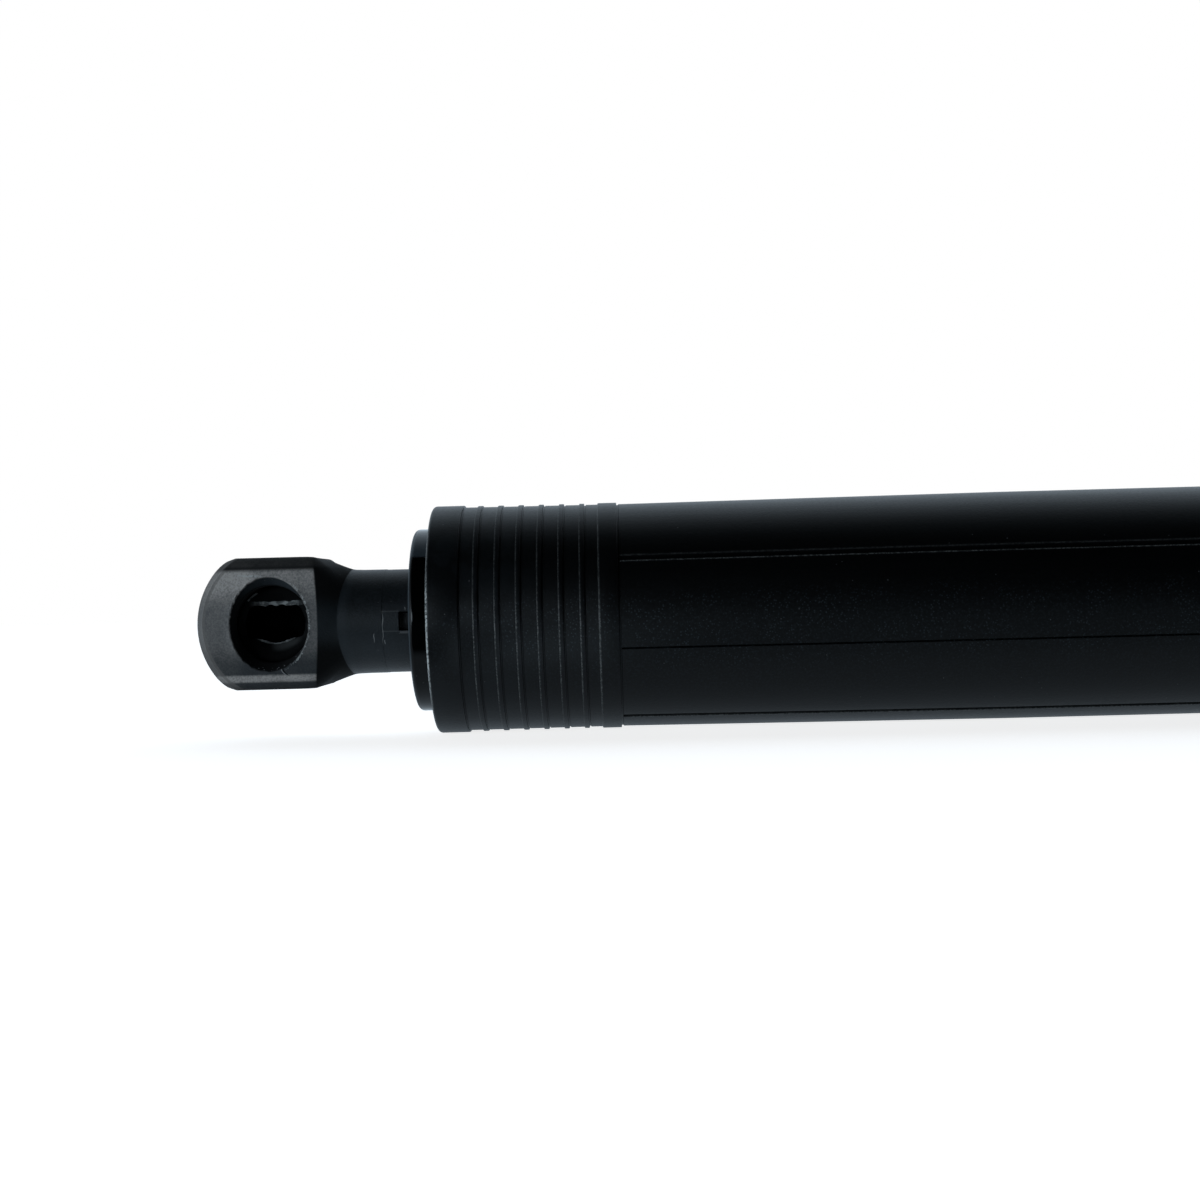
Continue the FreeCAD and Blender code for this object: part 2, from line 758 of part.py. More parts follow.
def guide_housing():
    """One moulding: the keyed guide tube, the bearing's seat and the ring gear."""
    flange = flange_left - guide_left
    bore_end = flange + s.guide_bore_end
    pocket = bearing_left - guide_left
    gears = flange_right - guide_left
    end = motor_left - guide_left
    room = s.bearing_radius + s.seat_gap
    body = turned("guide_housing", guide_left, [
        (0, guide_bore),
        (bore_end, guide_bore),
        (bore_end, s.flange_web_bore),
        (pocket, s.flange_web_bore),
        (pocket, room),
        (end, room),
        (end, seated_radius),
        (flange, seated_radius),
        (flange, guide_radius),
        (0, guide_radius),
    ])
    way = sketch_on(body, "YZ_Plane", "guide_housing_keyway")
    half = s.key_width / 2 + s.running_gap
    draw_box(way, (-half, guide_bore - s.key_height),
             (half, guide_bore + s.key_height))
    cut = pocketed(body, way, "guide_housing_keyway_cut", bore_end, forwards=True)
    repeated(body, cut, "guide_housing_keyways", 2, grows=False)
    bore = sketch_on(body, "YZ_Plane", "guide_housing_gear_bore", gears)
    draw_regular(bore, ring_teeth, ring_pitch_radius - addendum)
    pocketed(body, bore, "guide_housing_gear_room", end - gears, forwards=True)
    tooth_spaces(body, "guide_housing", ring_teeth, gears, end - gears, internal=True)


cover_sleeve()
housing_tube()
guide_housing()
ring("main_spring", rod_tube_left, flange_left - rod_tube_left,
     inner_tube_bore - s.face_gap - s.spring_wire, inner_tube_bore - s.face_gap)
ring("spindle_bearing", bearing_left, s.bearing_width,
     s.bearing_bore_radius + s.running_gap, s.bearing_radius)


# The spindle and the gear train
def spindle():
    """The threaded spindle with its bearing journal and the spigot that carries the gears."""
    shoulder = bearing_left - s.spindle_shoulder_gap - spindle_left
    journal = flange_right - spindle_left
    end = carrier_left + s.carrier_thickness - spindle_left
    turned("spindle", spindle_left, [
        (0, 0),
        (end, 0),
        (end, s.spindle_spigot_radius),
        (journal, s.spindle_spigot_radius),
        (journal, s.bearing_bore_radius),
        (shoulder, s.bearing_bore_radius),
        (shoulder, s.spindle_radius),
        (0, s.spindle_radius),
    ])


def planet_carrier():
    """The three-armed carrier, pressed on the spindle's spigot, with a planet pin on each arm."""
    body = new_body("planet_carrier", carrier_left)
    plate = sketch_on(body, "YZ_Plane", "planet_carrier_plate")
    corners = []
    for number in range(int(s.planet_count.number)):
        for side in (-1, 1):
            angle = number * 360 / s.planet_count + side * s.carrier_corner_spread
            corners.append((-s.carrier_radius * sine(angle), s.carrier_radius * cosine(angle)))
    draw_polygon(plate, corners)
    padded(body, plate, "planet_carrier_plate_pad", s.carrier_thickness)
    sketch = sketch_on(body, "YZ_Plane", "planet_carrier_pin", s.carrier_thickness)
    draw_circle(sketch, s.planet_pin_radius, 0, orbit_radius)
    pin = padded(body, sketch, "planet_carrier_pin_pad", s.face_gap + s.gear_width + s.pin_tail)
    must_change(body, pin, grows=True)
    repeated(body, pin, "planet_carrier_pins", s.planet_count, grows=True)
    bore = sketch_on(body, "YZ_Plane", "planet_carrier_bore")
    draw_circle(bore, s.spindle_spigot_radius + s.seat_gap)
    pocketed(body, bore, "planet_carrier_bore_cut", s.carrier_thickness, forwards=True)


def planets():
    """The planet gears, each turned with its place round the sun."""
    for number in range(int(s.planet_count.number)):
        label = f"planet_gear_{'abcdefgh'[number]}"
        body = new_body(label, planets_left)
        add_gear(body, label, s.planet_teeth, 0, s.gear_width)
        bore = sketch_on(body, "YZ_Plane", label + "_bore")
        draw_circle(bore, s.planet_pin_radius + s.running_gap)
        pocketed(body, bore, label + "_bore_cut", s.gear_width, forwards=True)
        place = number * 360 / s.planet_count
        tooth_up = place + 180 / s.planet_teeth
        across = -orbit_radius * sine(place)
        up = orbit_radius * cosine(place)
        body.Placement = Placement(Vector(planets_left.number, across.number, up.number),
                                   Rotation(Vector(1, 0, 0), tooth_up.number))
        bind(body, "Placement.Base.y", across)
        bind(body, "Placement.Base.z", up)
        bind(body, "Placement.Rotation.Angle", tooth_up)


def motor_shaft():
    """The motor's shaft, with the sun gear cut on its end."""
    body = new_body("motor_shaft", planets_left)
    add_gear(body, "motor_shaft_gear", s.sun_teeth, 0, s.gear_width)
    shaft = sketch_on(body, "YZ_Plane", "motor_shaft_round")
    draw_circle(shaft, s.motor_shaft_radius)
    length = motor_left - planets_left + s.motor_shaft_depth
    pad = padded(body, shaft, "motor_shaft_pad", length)
    must_change(body, pad, grows=True)


spindle()
planet_carrier()
planets()
motor_shaft()


# The motor, a sealed unit, and the board that counts its turns
def motor():
    """The motor's body, with the hole that its shaft turns in."""
    hole = s.motor_shaft_radius + s.running_gap
    depth = s.motor_shaft_depth + s.face_gap
    turned("motor", motor_left, [
        (depth, 0),
        (s.motor_length, 0),
        (s.motor_length, seated_radius),
        (0, seated_radius),
        (0, hole),
        (depth, hole),
    ])


def sensor_board():
    """The small circuit board in the end plug's pocket, behind the motor."""
    body = new_body("sensor_board", motor_right + s.board_pocket_depth - s.board_thickness)
    sketch = sketch_on(body, "YZ_Plane", "sensor_board_outline")
    draw_box(sketch, (-s.board_width / 2, -s.board_height / 2),
             (s.board_width / 2, s.board_height / 2))
    padded(body, sketch, "sensor_board_pad", s.board_thickness)


motor()
sensor_board()


# Cable outlet and the socket at the motor end
def cable_gland():
    """The rubber gland that the cable leaves through, seated in the end plug."""
    body = new_body("cable_gland", plug_right - s.gland_depth)
    sketch = sketch_on(body, "YZ_Plane", "cable_gland_plug")
    draw_circle(sketch, s.gland_radius, s.gland_offset, 0)
    draw_circle(sketch, s.gland_bore_radius, s.gland_offset, 0)
    padded(body, sketch, "cable_gland_plug_pad", s.gland_depth + s.gland_reach)


cable_gland()
ball_socket("housing_ball_socket", ball_to_ball, 180)
ball_cup("housing_ball_cup", ball_to_ball, 180)


# Everything is recomputed, tested and written, one file for each piece
document.recompute()
failed = [thing.Name for thing in document.Objects if {"Invalid", "Error"} & set(thing.State)]
if failed:
    raise RuntimeError(f"these did not build: {failed}")
pieces = [thing for thing in document.Objects if thing.TypeId == "PartDesign::Body"]
for piece in pieces:
    if piece.Shape.isNull() or not piece.Shape.isValid():
        raise RuntimeError(f"{piece.Label} has no sound shape")
os.makedirs("parts", exist_ok=True)
for piece in pieces:
    piece.Shape.exportStep(os.path.join("parts", piece.Label + ".step"))
print(f"{len(pieces)} pieces, {ball_to_ball.number:.2f} mm between the balls when closed")
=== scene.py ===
"""The looks of a power liftgate strut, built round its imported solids.

Shapes and patterns are worked out in millimetres, and pieces are made in metres."""

import math

import bmesh
import bpy
import numpy as np
from mathutils import Matrix, Vector


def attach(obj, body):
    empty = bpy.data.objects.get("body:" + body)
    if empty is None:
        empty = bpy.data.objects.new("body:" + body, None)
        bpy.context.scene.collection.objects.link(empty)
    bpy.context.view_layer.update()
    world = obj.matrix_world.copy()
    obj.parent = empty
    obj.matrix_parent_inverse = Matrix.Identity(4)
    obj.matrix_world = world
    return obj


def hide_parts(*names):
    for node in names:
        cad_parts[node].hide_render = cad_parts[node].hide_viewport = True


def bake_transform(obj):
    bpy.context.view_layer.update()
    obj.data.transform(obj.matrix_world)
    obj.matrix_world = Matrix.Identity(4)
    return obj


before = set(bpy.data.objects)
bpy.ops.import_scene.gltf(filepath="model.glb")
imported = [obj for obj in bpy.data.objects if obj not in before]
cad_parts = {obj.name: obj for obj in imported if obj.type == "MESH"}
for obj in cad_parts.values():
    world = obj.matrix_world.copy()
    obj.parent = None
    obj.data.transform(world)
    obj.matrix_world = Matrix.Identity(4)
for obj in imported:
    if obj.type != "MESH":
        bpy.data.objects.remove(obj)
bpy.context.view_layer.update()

MM = 0.001
QUARTER_TURN = math.pi / 2
HALF_TURN = math.pi
TURN = 2 * math.pi

# Sizes in millimetres: X runs along the strut from the centre of the rod end's ball, -Y faces the camera
BALL_TO_BALL = 500.0

# Ball socket: block head with a round nose, sloped shoulder, neck, notch and shank
FRONT_Y = -10.0
BACK_Y = 9.0
TOP_Z = 10.6
BOTTOM_Z = -10.35
EDGE_ROUND = 2.4
NOSE_RADIUS = 13.3
NOSE_CENTRE = 1.8
NOSE_FILLET = 0.45
FRONT_FILLET = 1.0
BLOCK_START = -3.0
BLOCK_END = 5.8
NECK_RADIUS = 8.4
NECK_STEP_X = 17.55
NECK_STEP_DEPTH = 0.05
NECK_END = 22.7
NECK_ROUND = 0.25
SHANK_RADIUS = 4.0
SHANK_END = 34.7
SHANK_CHAMFER = 0.6
NOTCH_HALF = 1.5
NOTCH_START = 20.2
NOTCH_DEPTH = 1.3

# The socket's mouth: an oval rim, a flared entry and a round bore
MOUTH_X = 6.25
MOUTH_Z = 7.525
RIM_DEPTH = 0.22
RIM_INSET = 0.12
FLARE_DEPTH = 2.2
BORE_RADIUS = 6.25
BORE_FLOOR = 6.75

# Lines on the head: the face's top, its bowed right edge, and the bowed crease between shoulder and neck
FACE_TOP = 8.5
FACE_END = 7.6
FACE_BOW = 0.0052
CREASE_X = 10.4
CREASE_BOW = 0.022

# Snap cup: a round seat with two lips across its mouth
CUP_RADIUS = 6.22
CUP_FRONT = -5.1
CUP_CHAMFER = 0.4
CUP_ROUND = 0.25
LIP_THICKNESS = 0.95
LIP_DIP = 0.45
LIP_EDGE = 3.0
ENTRY_RADIUS = 4.75
ENTRY_ROUND = 0.22
SEAT_RADIUS = 5.08

# Sliding tube
TUBE_START = 22.4
TUBE_RADIUS = 14.75
TUBE_BORE = 13.5
END_WALL = 1.9
RIM_ROUND = 0.85
BEAD_START = 259.0
BEAD_END = 275.0
BEAD_RADIUS = 16.07

# Collar: a wide band, six ribs and a narrow band
COLLAR_START = 25.5
COLLAR_END = 55.06
COLLAR_RADIUS = 18.1
COLLAR_TAPER = 0.1
WIDE_BAND_RADIUS = 18.4
WIDE_BAND_END = 30.5
NARROW_BAND_RADIUS = 18.25
NARROW_BAND_START = 52.0
LIP_BORE = 14.83
LIP_END = 28.0
RIB_COUNT = 6
RIB_START = 32.73
RIB_PITCH = 3.27
RIB_WIDTH = 0.8
RIB_HEIGHT = 0.2
FOOT_DEPTH = 0.14

# Sleeve behind the collar, with two seams and a groove either side of each
SLEEVE_START_RADIUS = 18.0
SLEEVE_RADIUS = 18.35
SLEEVE_BORE = 17.03
SLEEVE_END = 472.0
SEAM_ANGLE = math.radians(16.0)
SEAM_HALF = math.radians(0.5)
SEAM_DEPTH = 0.4
GROOVE_ANGLE = math.radians(45.65)
GROOVE_HALF = math.radians(1.35)
GROOVE_DEPTH = 0.42

# Heights at which the sleeve's painted light is strongest, and at which its painted glints gather
LIT_Z = -6.0
GLINT_Z = -2.5

# Metal tube under the sleeve, with its end plug
HOUSING_START = 28.0
HOUSING_BORE = 16.15
HOUSING_RADIUS = 17.0
HOUSING_END = 477.3
THREAD_BORE = SHANK_RADIUS + 0.03
THREAD_BORE_START = 464.3
PLUG_START = 434.7
POCKET_END = 437.7
POCKET_RADIUS = 12.0
CABLE_WAY_RADIUS = 2.0

# Cable outlet, beside the far socket
OUTLET_Y = 12.6
OUTLET_RADIUS = 3.0
OUTLET_BORE = 2.25

# Spring
SPRING_START = 24.3
SPRING_END = 317.0
SPRING_RADIUS = 11.9
SPRING_TURNS = 60
WIRE_RADIUS = 1.3

# Spindle, with its thread, journal and spigot
SPINDLE_START = 43.0
SPINDLE_RADIUS = 5.0
THREAD_END = 324.5
THREAD_LEAD = 12.0
THREAD_STARTS = 4
THREAD_DEPTH = 0.9
SPINDLE_STEPS = ((THREAD_END, 4.0), (330.0, 4.0), (330.0, 3.0), (334.3, 3.0), (334.3, 0.0))

# Fineness of the meshes. Points nearer than MERGE metres become one, and SPLIT is half the way between two
# rows or columns that make a sharp step
MERGE = 1e-6
SPLIT = 0.02

# Angles in degrees past which an edge stays sharp
EDGE_SHARP = 32
HEAD_SHARP = 22
WIRE_SHARP = 60
THREAD_SHARP = 30

# Mesh helpers


def even_angles(count):
    """Angles spread evenly round a whole turn."""
    return np.linspace(0, TURN, count, endpoint=False)


def joined_rows(rows, columns, start=0, loop=False):
    """Corner numbers of the faces between the rows of a grid whose columns run all the way round."""
    row, column = np.meshgrid(np.arange(rows if loop else rows - 1), np.arange(columns), indexing="ij")
    after = (row + 1) % rows
    beside = (column + 1) % columns
    corners = [(row, column), (row, beside), (after, beside), (after, column)]
    return start + np.stack([line * columns + place for line, place in corners], -1).reshape(-1, 4)


def round_axis(x, radius, angle, centre_y=0.0):
    """Points round an axis along X: (x, centre - r cos a, -r sin a)."""
    x, radius, angle = np.broadcast_arrays(x, radius, angle)
    return np.stack([x, centre_y - radius * np.cos(angle), -radius * np.sin(angle)], -1)


def round_mouth(angle, profile):
    """Rings round the mouth's axis, one for each (radius, y) of a profile: (r cos a, y, r sin a). A radius
    or a y is one number, or one for every angle."""
    rings = [np.broadcast_arrays(radius * np.cos(angle), y, radius * np.sin(angle)) for radius, y in profile]
    return np.array([np.stack(ring, -1) for ring in rings])


def waves(angle, *parts):
    """A sum of waves round a turn, each of them height x sin(count x a + phase)."""
    return sum(height * np.sin(count * angle + phase) for height, count, phase in parts)


def soft_clip(value, softness):
    """A value held between 0 and 1, with rounded bends: half the difference of two rounded bends, plus a
    half. A rounded bend is the square root of the value's square plus the softness's square."""
    low = np.sqrt(value**2 + softness**2)
    high = np.sqrt((value - 1) ** 2 + softness**2)
    return (low - high + 1) / 2


def rounded(corners, steps=4):
    """An outline from corners (x, r, radius): a corner gives way to an arc that touches both its sides, and
    a point of the arc is its centre plus the arc's two end arms, weighted by the sines of their angles."""
    places = np.array([corner[:2] for corner in corners], float)
    points = []
    for number, corner in enumerate(corners):
        place = places[number]
        radius = corner[2]
        if radius == 0:
            points.append(place[None])
            continue
        before = places[number - 1] - place
        after = places[(number + 1) % len(corners)] - place
        before /= np.linalg.norm(before)
        after /= np.linalg.norm(after)
        half = math.acos(np.clip(before @ after, -1, 1)) / 2
        middle = before + after
        centre = place + middle / np.linalg.norm(middle) * radius / math.sin(half)
        first = place + before * radius / math.tan(half) - centre
        last = place + after * radius / math.tan(half) - centre
        sweep = HALF_TURN - 2 * half
        share = np.linspace(0, 1, steps + 1)[:, None]
        arc = (np.sin((1 - share) * sweep) * first + np.sin(share * sweep) * last) / math.sin(sweep)
        points.append(centre + arc)
    return np.concatenate(points)


def turned(outline, angles, centre_y=0.0, carve=None):
    """A closed outline of points (x, r) turned round an axis along X. carve(x, r, a) adds to r."""
    x, angle = np.meshgrid(outline[:, 0], angles, indexing="ij")
    radius = np.repeat(outline[:, 1:], len(angles), axis=1)
    if carve:
        radius = radius + carve(x, radius, angle)
    return round_axis(x, radius, angle, centre_y), joined_rows(len(outline), len(angles), loop=True)


def add_piece(name, shape, body, finish, replaced, sharp=EDGE_SHARP):
    """A piece from a shape's points and four-cornered faces: points that coincide are merged, faces are
    turned outward, and only edges sharper than the given angle stay sharp."""
    points, faces = shape
    mesh = bpy.data.meshes.new(name)
    mesh.from_pydata((points.reshape(-1, 3) * MM).tolist(), [], faces.tolist())
    skin = bmesh.new()
    skin.from_mesh(mesh)
    bmesh.ops.remove_doubles(skin, verts=skin.verts, dist=MERGE)
    bmesh.ops.recalc_face_normals(skin, faces=skin.faces)
    skin.to_mesh(mesh)
    skin.free()
    mesh.polygons.foreach_set("use_smooth", np.ones(len(mesh.polygons), bool))
    mesh.set_sharp_from_angle(angle=math.radians(sharp))
    mesh.materials.append(finish)
    piece = bpy.data.objects.new(name, mesh)
    bpy.context.scene.collection.objects.link(piece)
    if body:
        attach(piece, body)
    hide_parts(replaced)
    return piece


# Shader maths

# Numbers of the Mix node's sockets: the factor, two values, two colours, and the colour that comes out
MIX_FACTOR = 0
MIX_VALUES = (2, 3)
MIX_COLOURS = (6, 7)
MIX_COLOUR_OUT = 2

# Share of a line's half width that has its full strength
LINE_CORE = 0.4


class Field:
    """A value or colour that varies over a surface. Sums, products and the like add their Math nodes."""

    def __init__(self, nodes, socket):
        self.nodes = nodes
        self.socket = socket

    def math(self, operation, *others):
        """This value and others put through one Math operation."""
        return self.nodes.node("ShaderNodeMath", [self, *others], operation=operation)

    def __add__(self, other):
        return self.math("ADD", other)

    def __mul__(self, other):
        return self.math("MULTIPLY", other)

    def __sub__(self, other):
        return self.math("SUBTRACT", other)

    def __rsub__(self, other):
        return self.nodes.node("ShaderNodeMath", [other, self], operation="SUBTRACT")

    def __truediv__(self, other):
        return self.math("DIVIDE", other)

    def __neg__(self):
        return self * -1

    __radd__ = __add__
    __rmul__ = __mul__

    def squared(self):
        """This value times itself."""
        return self * self

    def size(self):
        """This value without its sign."""
        return self.math("ABSOLUTE")

    def capped(self):
        """This value, but never more than 1."""
        return self.math("MINIMUM", 1.0)

    def rises(self, low, high):
        """0 below low, 1 above high, and a smooth slope between."""
        return self.nodes.node("ShaderNodeMapRange", [self, low, high], interpolation_type="SMOOTHSTEP")

    def falls(self, low, high):
        """1 below low, 0 above high, and a smooth slope between."""
        return 1 - self.rises(low, high)

    def near(self, middle, width):
        """1 where the value is at the middle, 0 where it is a width or more away."""
        return (self - middle).size().falls(width * LINE_CORE, width)


def distance(first, second):
    """How far a place lies from a point, from its distances along two directions."""
    return (first.squared() + second.squared()).math("SQRT")


class Nodes:
    """The node tree of a material or a world in the making. One method adds any node."""

    def __init__(self, owner):
        owner.use_nodes = True
        self.tree = owner.node_tree
        self.tree.nodes.clear()

    def node(self, kind, values=(), output=0, **settings):
        """A node of one kind: its settings are set first, then the values or links of its sockets. It gives
        back one output, if the node has any."""
        made = self.tree.nodes.new(kind)
        for key, value in settings.items():
            setattr(made, key, value)
        for key, value in values.items() if isinstance(values, dict) else enumerate(values):
            if isinstance(value, Field):
                self.tree.links.new(value.socket, made.inputs[key])
            else:
                made.inputs[key].default_value = value
        return Field(self, made.outputs[output]) if made.outputs else None

    def mixed(self, share, first, second):
        """One colour that turns into another as the share goes from 0 to 1."""
        values = {MIX_FACTOR: share, MIX_COLOURS[0]: first, MIX_COLOURS[1]: second}
        return self.node("ShaderNodeMix", values, MIX_COLOUR_OUT, data_type="RGBA")

    def layered(self, colour, *layers):
        """A colour under layers, each a share from 0 to 1 and the colour that it puts over what is below."""
        for share, cover in layers:
            colour = self.mixed(share, colour, cover)
        return colour


class Finish(Nodes):
    """A material in the making, with the patterns that finishes share. Its places are in millimetres, and
    at the far end they are those of the same shape at the rod end."""

    def __init__(self, name, far_end=False):
        self.material = bpy.data.materials.new(name)
        super().__init__(self.material)
        place = self.node("ShaderNodeTexCoord", output="Object")
        way = -1 if far_end else 1
        scale = (way / MM, 1 / MM, way / MM)
        start = (BALL_TO_BALL if far_end else 0.0, 0.0, 0.0)
        self.place = self.node("ShaderNodeVectorMath", [place, scale, start], operation="MULTIPLY_ADD")
        self.x, self.y, self.z = (
            self.node("ShaderNodeSeparateXYZ", [self.place], output=axis) for axis in range(3)
        )
        self.ahead = -self.y

    def cells(self, size, stretch=(1, 1, 1)):
        """The place counted in cells of one size, longer along an axis where stretched."""
        scale = [1 / (size * part) for part in stretch]
        return self.node("ShaderNodeMapping", {"Vector": self.place, "Scale": scale})

    def noise(self, size, detail=2.0, stretch=(1, 1, 1), roughness=0.5):
        """Cloudy noise whose clouds are about one size, and longer along an axis where stretched."""
        values = {"Vector": self.cells(size, stretch), "Scale": 1.0, "Detail": detail, "Roughness": roughness}
        return self.node("ShaderNodeTexNoise", values)

    def flecks(self, size, share):
        """1 in scattered specks that lie about one size apart and reach out by a share of that."""
        from_speck = self.node("ShaderNodeTexVoronoi", {"Vector": self.cells(size), "Scale": 1.0})
        return from_speck.falls(share * 0.5, share)

    def from_axis(self):
        """Distance from the strut's axis."""
        return distance(self.y, self.z)

    def done(self, colour, roughness, height, depth, constants=None):
        """Closes the material: its shader, with bumps of a depth in millimetres from a height of 0 to 1, and
        the sockets that are the same all over."""
        bump = self.node("ShaderNodeBump", {"Strength": 1.0, "Distance": depth * MM, "Height": height})
        values = {"Base Color": colour, "Roughness": roughness, "Normal": bump, **(constants or {})}
        shader = self.node("ShaderNodeBsdfPrincipled", values)
        self.node("ShaderNodeOutputMaterial", {"Surface": shader})
        return self.material


# Shades

NEUTRAL = (1.0, 1.0, 1.0)
COOL = (0.80, 1.0, 1.15)
CLEAR = (1.0, 1.03, 1.0)
WARM = (1.09, 1.0, 0.93)
BOARD_GREEN = (0.25, 1.0, 0.4)


def grey(level, tint=NEUTRAL):
    """A colour of one level with a tint."""
    return (level * tint[0], level * tint[1], level * tint[2], 1.0)


BLACK = grey(0.0)
WHITE = grey(1.0)
LIGHT = grey(1.0, (0.84, 1.0, 1.14))

SLEEVE_BLACK = grey(0.0002, COOL)
SLEEVE_STREAK = grey(0.0009, COOL)
SLEEVE_LIGHT_POOL = grey(0.0042, COOL)
SLEEVE_LIT_GRAIN = grey(0.006, COOL)
SLEEVE_GLINT = grey(0.045, COOL)
SLEEVE_WEAR_AND_HIGHLIGHT = grey(0.11, CLEAR)
SLEEVE_CORNER_GLINT = grey(0.50, CLEAR)
SLEEVE_DUST = grey(0.10)

GLOSS_BLACK = grey(0.0004, COOL)
GLOSS_TOP_REFLECTION = grey(0.045, COOL)
GLOSS_SPECK = grey(0.05)
GLOSS_RIM_HIGHLIGHT = grey(0.055, COOL)

HEAD_BLACK = grey(0.0005, COOL)
HEAD_SKIN = grey(0.016, COOL)
SHOULDER_SHADE = grey(0.0002, COOL)
SHOULDER_RIDGE_LIGHT = grey(0.026, COOL)
NECK_UNDERSIDE_LIGHT = grey(0.030, COOL)
NECK_MARKS_AND_HIGHLIGHT = grey(0.22)
FACE_DARK = grey(0.024, COOL)
FACE_RUBBED_AND_LIT = grey(0.37, WARM)
NOSE_EDGE_HIGHLIGHT = grey(0.16, WARM)
NOSE_BEVEL_HIGHLIGHT = grey(0.13, WARM)
FACE_SCUFF_AND_GLINT = grey(0.42, CLEAR)
CRACK_BLACK = grey(0.0005)
CRACK_EDGE_GLINT = grey(0.22)
MOUTH_SHADE = grey(0.0004, COOL)
MOUTH_CRESCENT_LIGHT = grey(0.030, COOL)
MOUTH_SPECK = grey(0.09)
MOUTH_FLAKE = grey(0.30)

CUP_BLACK = grey(0.0002, COOL)
CUP_GRAIN = grey(0.0006, COOL)
LIP_BODY_LIGHT = grey(0.035, CLEAR)
LIP_EDGE_GLINT = grey(0.30, CLEAR)

# Finishes


def groove_wear_and_highlight(finish):
    """Wear and painted highlight along the sleeve's grooves, stronger on their lower edges. The seams stand
    half a turn apart, and the grooves lie at one angle on either side of each."""
    angle = (-finish.z).math("ARCTAN2", finish.ahead)
    from_seam = (angle + (QUARTER_TURN - SEAM_ANGLE)).math("FLOORED_MODULO", HALF_TURN) - QUARTER_TURN
    down = (from_seam.size() - GROOVE_ANGLE) * from_seam.math("SIGN")
    edge = GROOVE_HALF * 1.25
    width = GROOVE_HALF * 0.4
    both = down.near(edge, width) + down.near(-edge, width) * 0.3
    return both * finish.x.rises(COLLAR_END + 0.24, COLLAR_END + 0.44)


def rib_wear_and_highlight(finish):
    """Wear and painted highlight on the left edge of each rib."""
    from_rib = (finish.x - RIB_START).math("FLOORED_MODULO", RIB_PITCH)
    return from_rib.near(0.06, 0.20) * finish.x.rises(31.5, 32.0) * finish.x.falls(50.0, 51.0)


def sleeve_finish():
    """Black moulded plastic: a fine grain, painted lighter where the lamp falls and strewn with painted
    glints, faint streaks along it, dust, a painted pool of light on the collar's front, a painted glint on
    its front corner, and light wear with painted highlights on the edges of bands, ribs and grooves."""
    finish = Finish("black_moulded_sleeve")
    x, z = finish.x, finish.z
    grain = finish.noise(0.35, detail=3.0)
    streaks = finish.noise(1.2, stretch=(30, 1, 1))
    patches = finish.noise(4.0).rises(0.40, 0.60)
    broken = 0.25 + 0.75 * finish.noise(0.30).rises(0.42, 0.62)
    facing = finish.ahead.rises(0.0, 8.0)
    # Painted light: a band facing the camera in which the grain is painted lighter, where the lamp lights it
    lit = z.near(LIT_Z, 10.0) * facing
    # Painted glints: bright specks painted in a band where the lamp's light glances off the grain
    glint_band = z.near(GLINT_Z, 8.0) * facing
    painted_glints = finish.flecks(0.45, 0.33) * (0.3 + 0.7 * patches) * glint_band
    # Painted light: a mottled pool of light from the lamp on the collar's front
    light_pool = x.falls(33.0, 47.0) * (0.35 + 0.85 * patches)
    corner = x.near(COLLAR_START + 0.08, 0.34) * finish.from_axis().rises(17.75, 17.95)
    # Wear and painted highlights on the left edges of the bands and ribs, which face the lamp, brighter in
    # the lit band
    bands = corner * 1.6 + x.near(NARROW_BAND_START + 0.08, 0.20)
    edges = (rib_wear_and_highlight(finish) + bands) * (0.35 + 0.65 * lit)
    wear_and_highlight = (edges + groove_wear_and_highlight(finish) * 0.7) * broken
    colour = finish.layered(
        finish.mixed(streaks, SLEEVE_BLACK, SLEEVE_STREAK),
        (light_pool, SLEEVE_LIGHT_POOL),
        (grain.rises(0.45, 0.70) * lit, SLEEVE_LIT_GRAIN),
        (painted_glints * 0.5, SLEEVE_GLINT),
        (wear_and_highlight.capped(), SLEEVE_WEAR_AND_HIGHLIGHT),
        # Painted glint on the collar's front corner, where it faces the lamp
        (corner * z.near(GLINT_Z, 11.0) * grain.rises(0.36, 0.60), SLEEVE_CORNER_GLINT),
        (finish.flecks(2.6, 0.045) * 0.6, SLEEVE_DUST),
    )
    rough = 0.30 + grain * 0.16 + streaks * 0.05
    return finish.done(colour, rough, grain * 0.7 + streaks * 0.3, 0.03, {"Specular IOR Level": 0.18})


def gloss_finish():
    """Gloss black coated tube, with the faintest ripple, a few hairline marks round it, a painted reflection
    on its top, specks below, and a dull rolled rim with a painted highlight on its edge."""
    finish = Finish("gloss_black_coating")
    x, z = finish.x, finish.z
    ripple = finish.noise(6.0, detail=1.0)
    marks = finish.noise(0.6, stretch=(0.3, 6, 6)).rises(0.6, 0.8)
    # Painted highlight: a faint light line on the rolled rim's outer edge
    rim = x.falls(TUBE_START + 0.10, TUBE_START + 0.40) * finish.from_axis().rises(13.9, 14.2)
    rolled = x.falls(TUBE_START + 0.45, TUBE_START + 0.75)
    colour = finish.layered(
        GLOSS_BLACK,
        # Painted reflection: the tube's top painted paler
        (z.rises(9.8, 10.2) * 0.8, GLOSS_TOP_REFLECTION),
        (finish.flecks(0.9, 0.12) * (-z).rises(4.5, 6.0), GLOSS_SPECK),
        (rim, GLOSS_RIM_HIGHLIGHT),
    )
    rough = 0.08 + marks * 0.10 + rolled * 0.36
    return finish.done(colour, rough, ripple, 0.004, {"Specular IOR Level": 0.16})


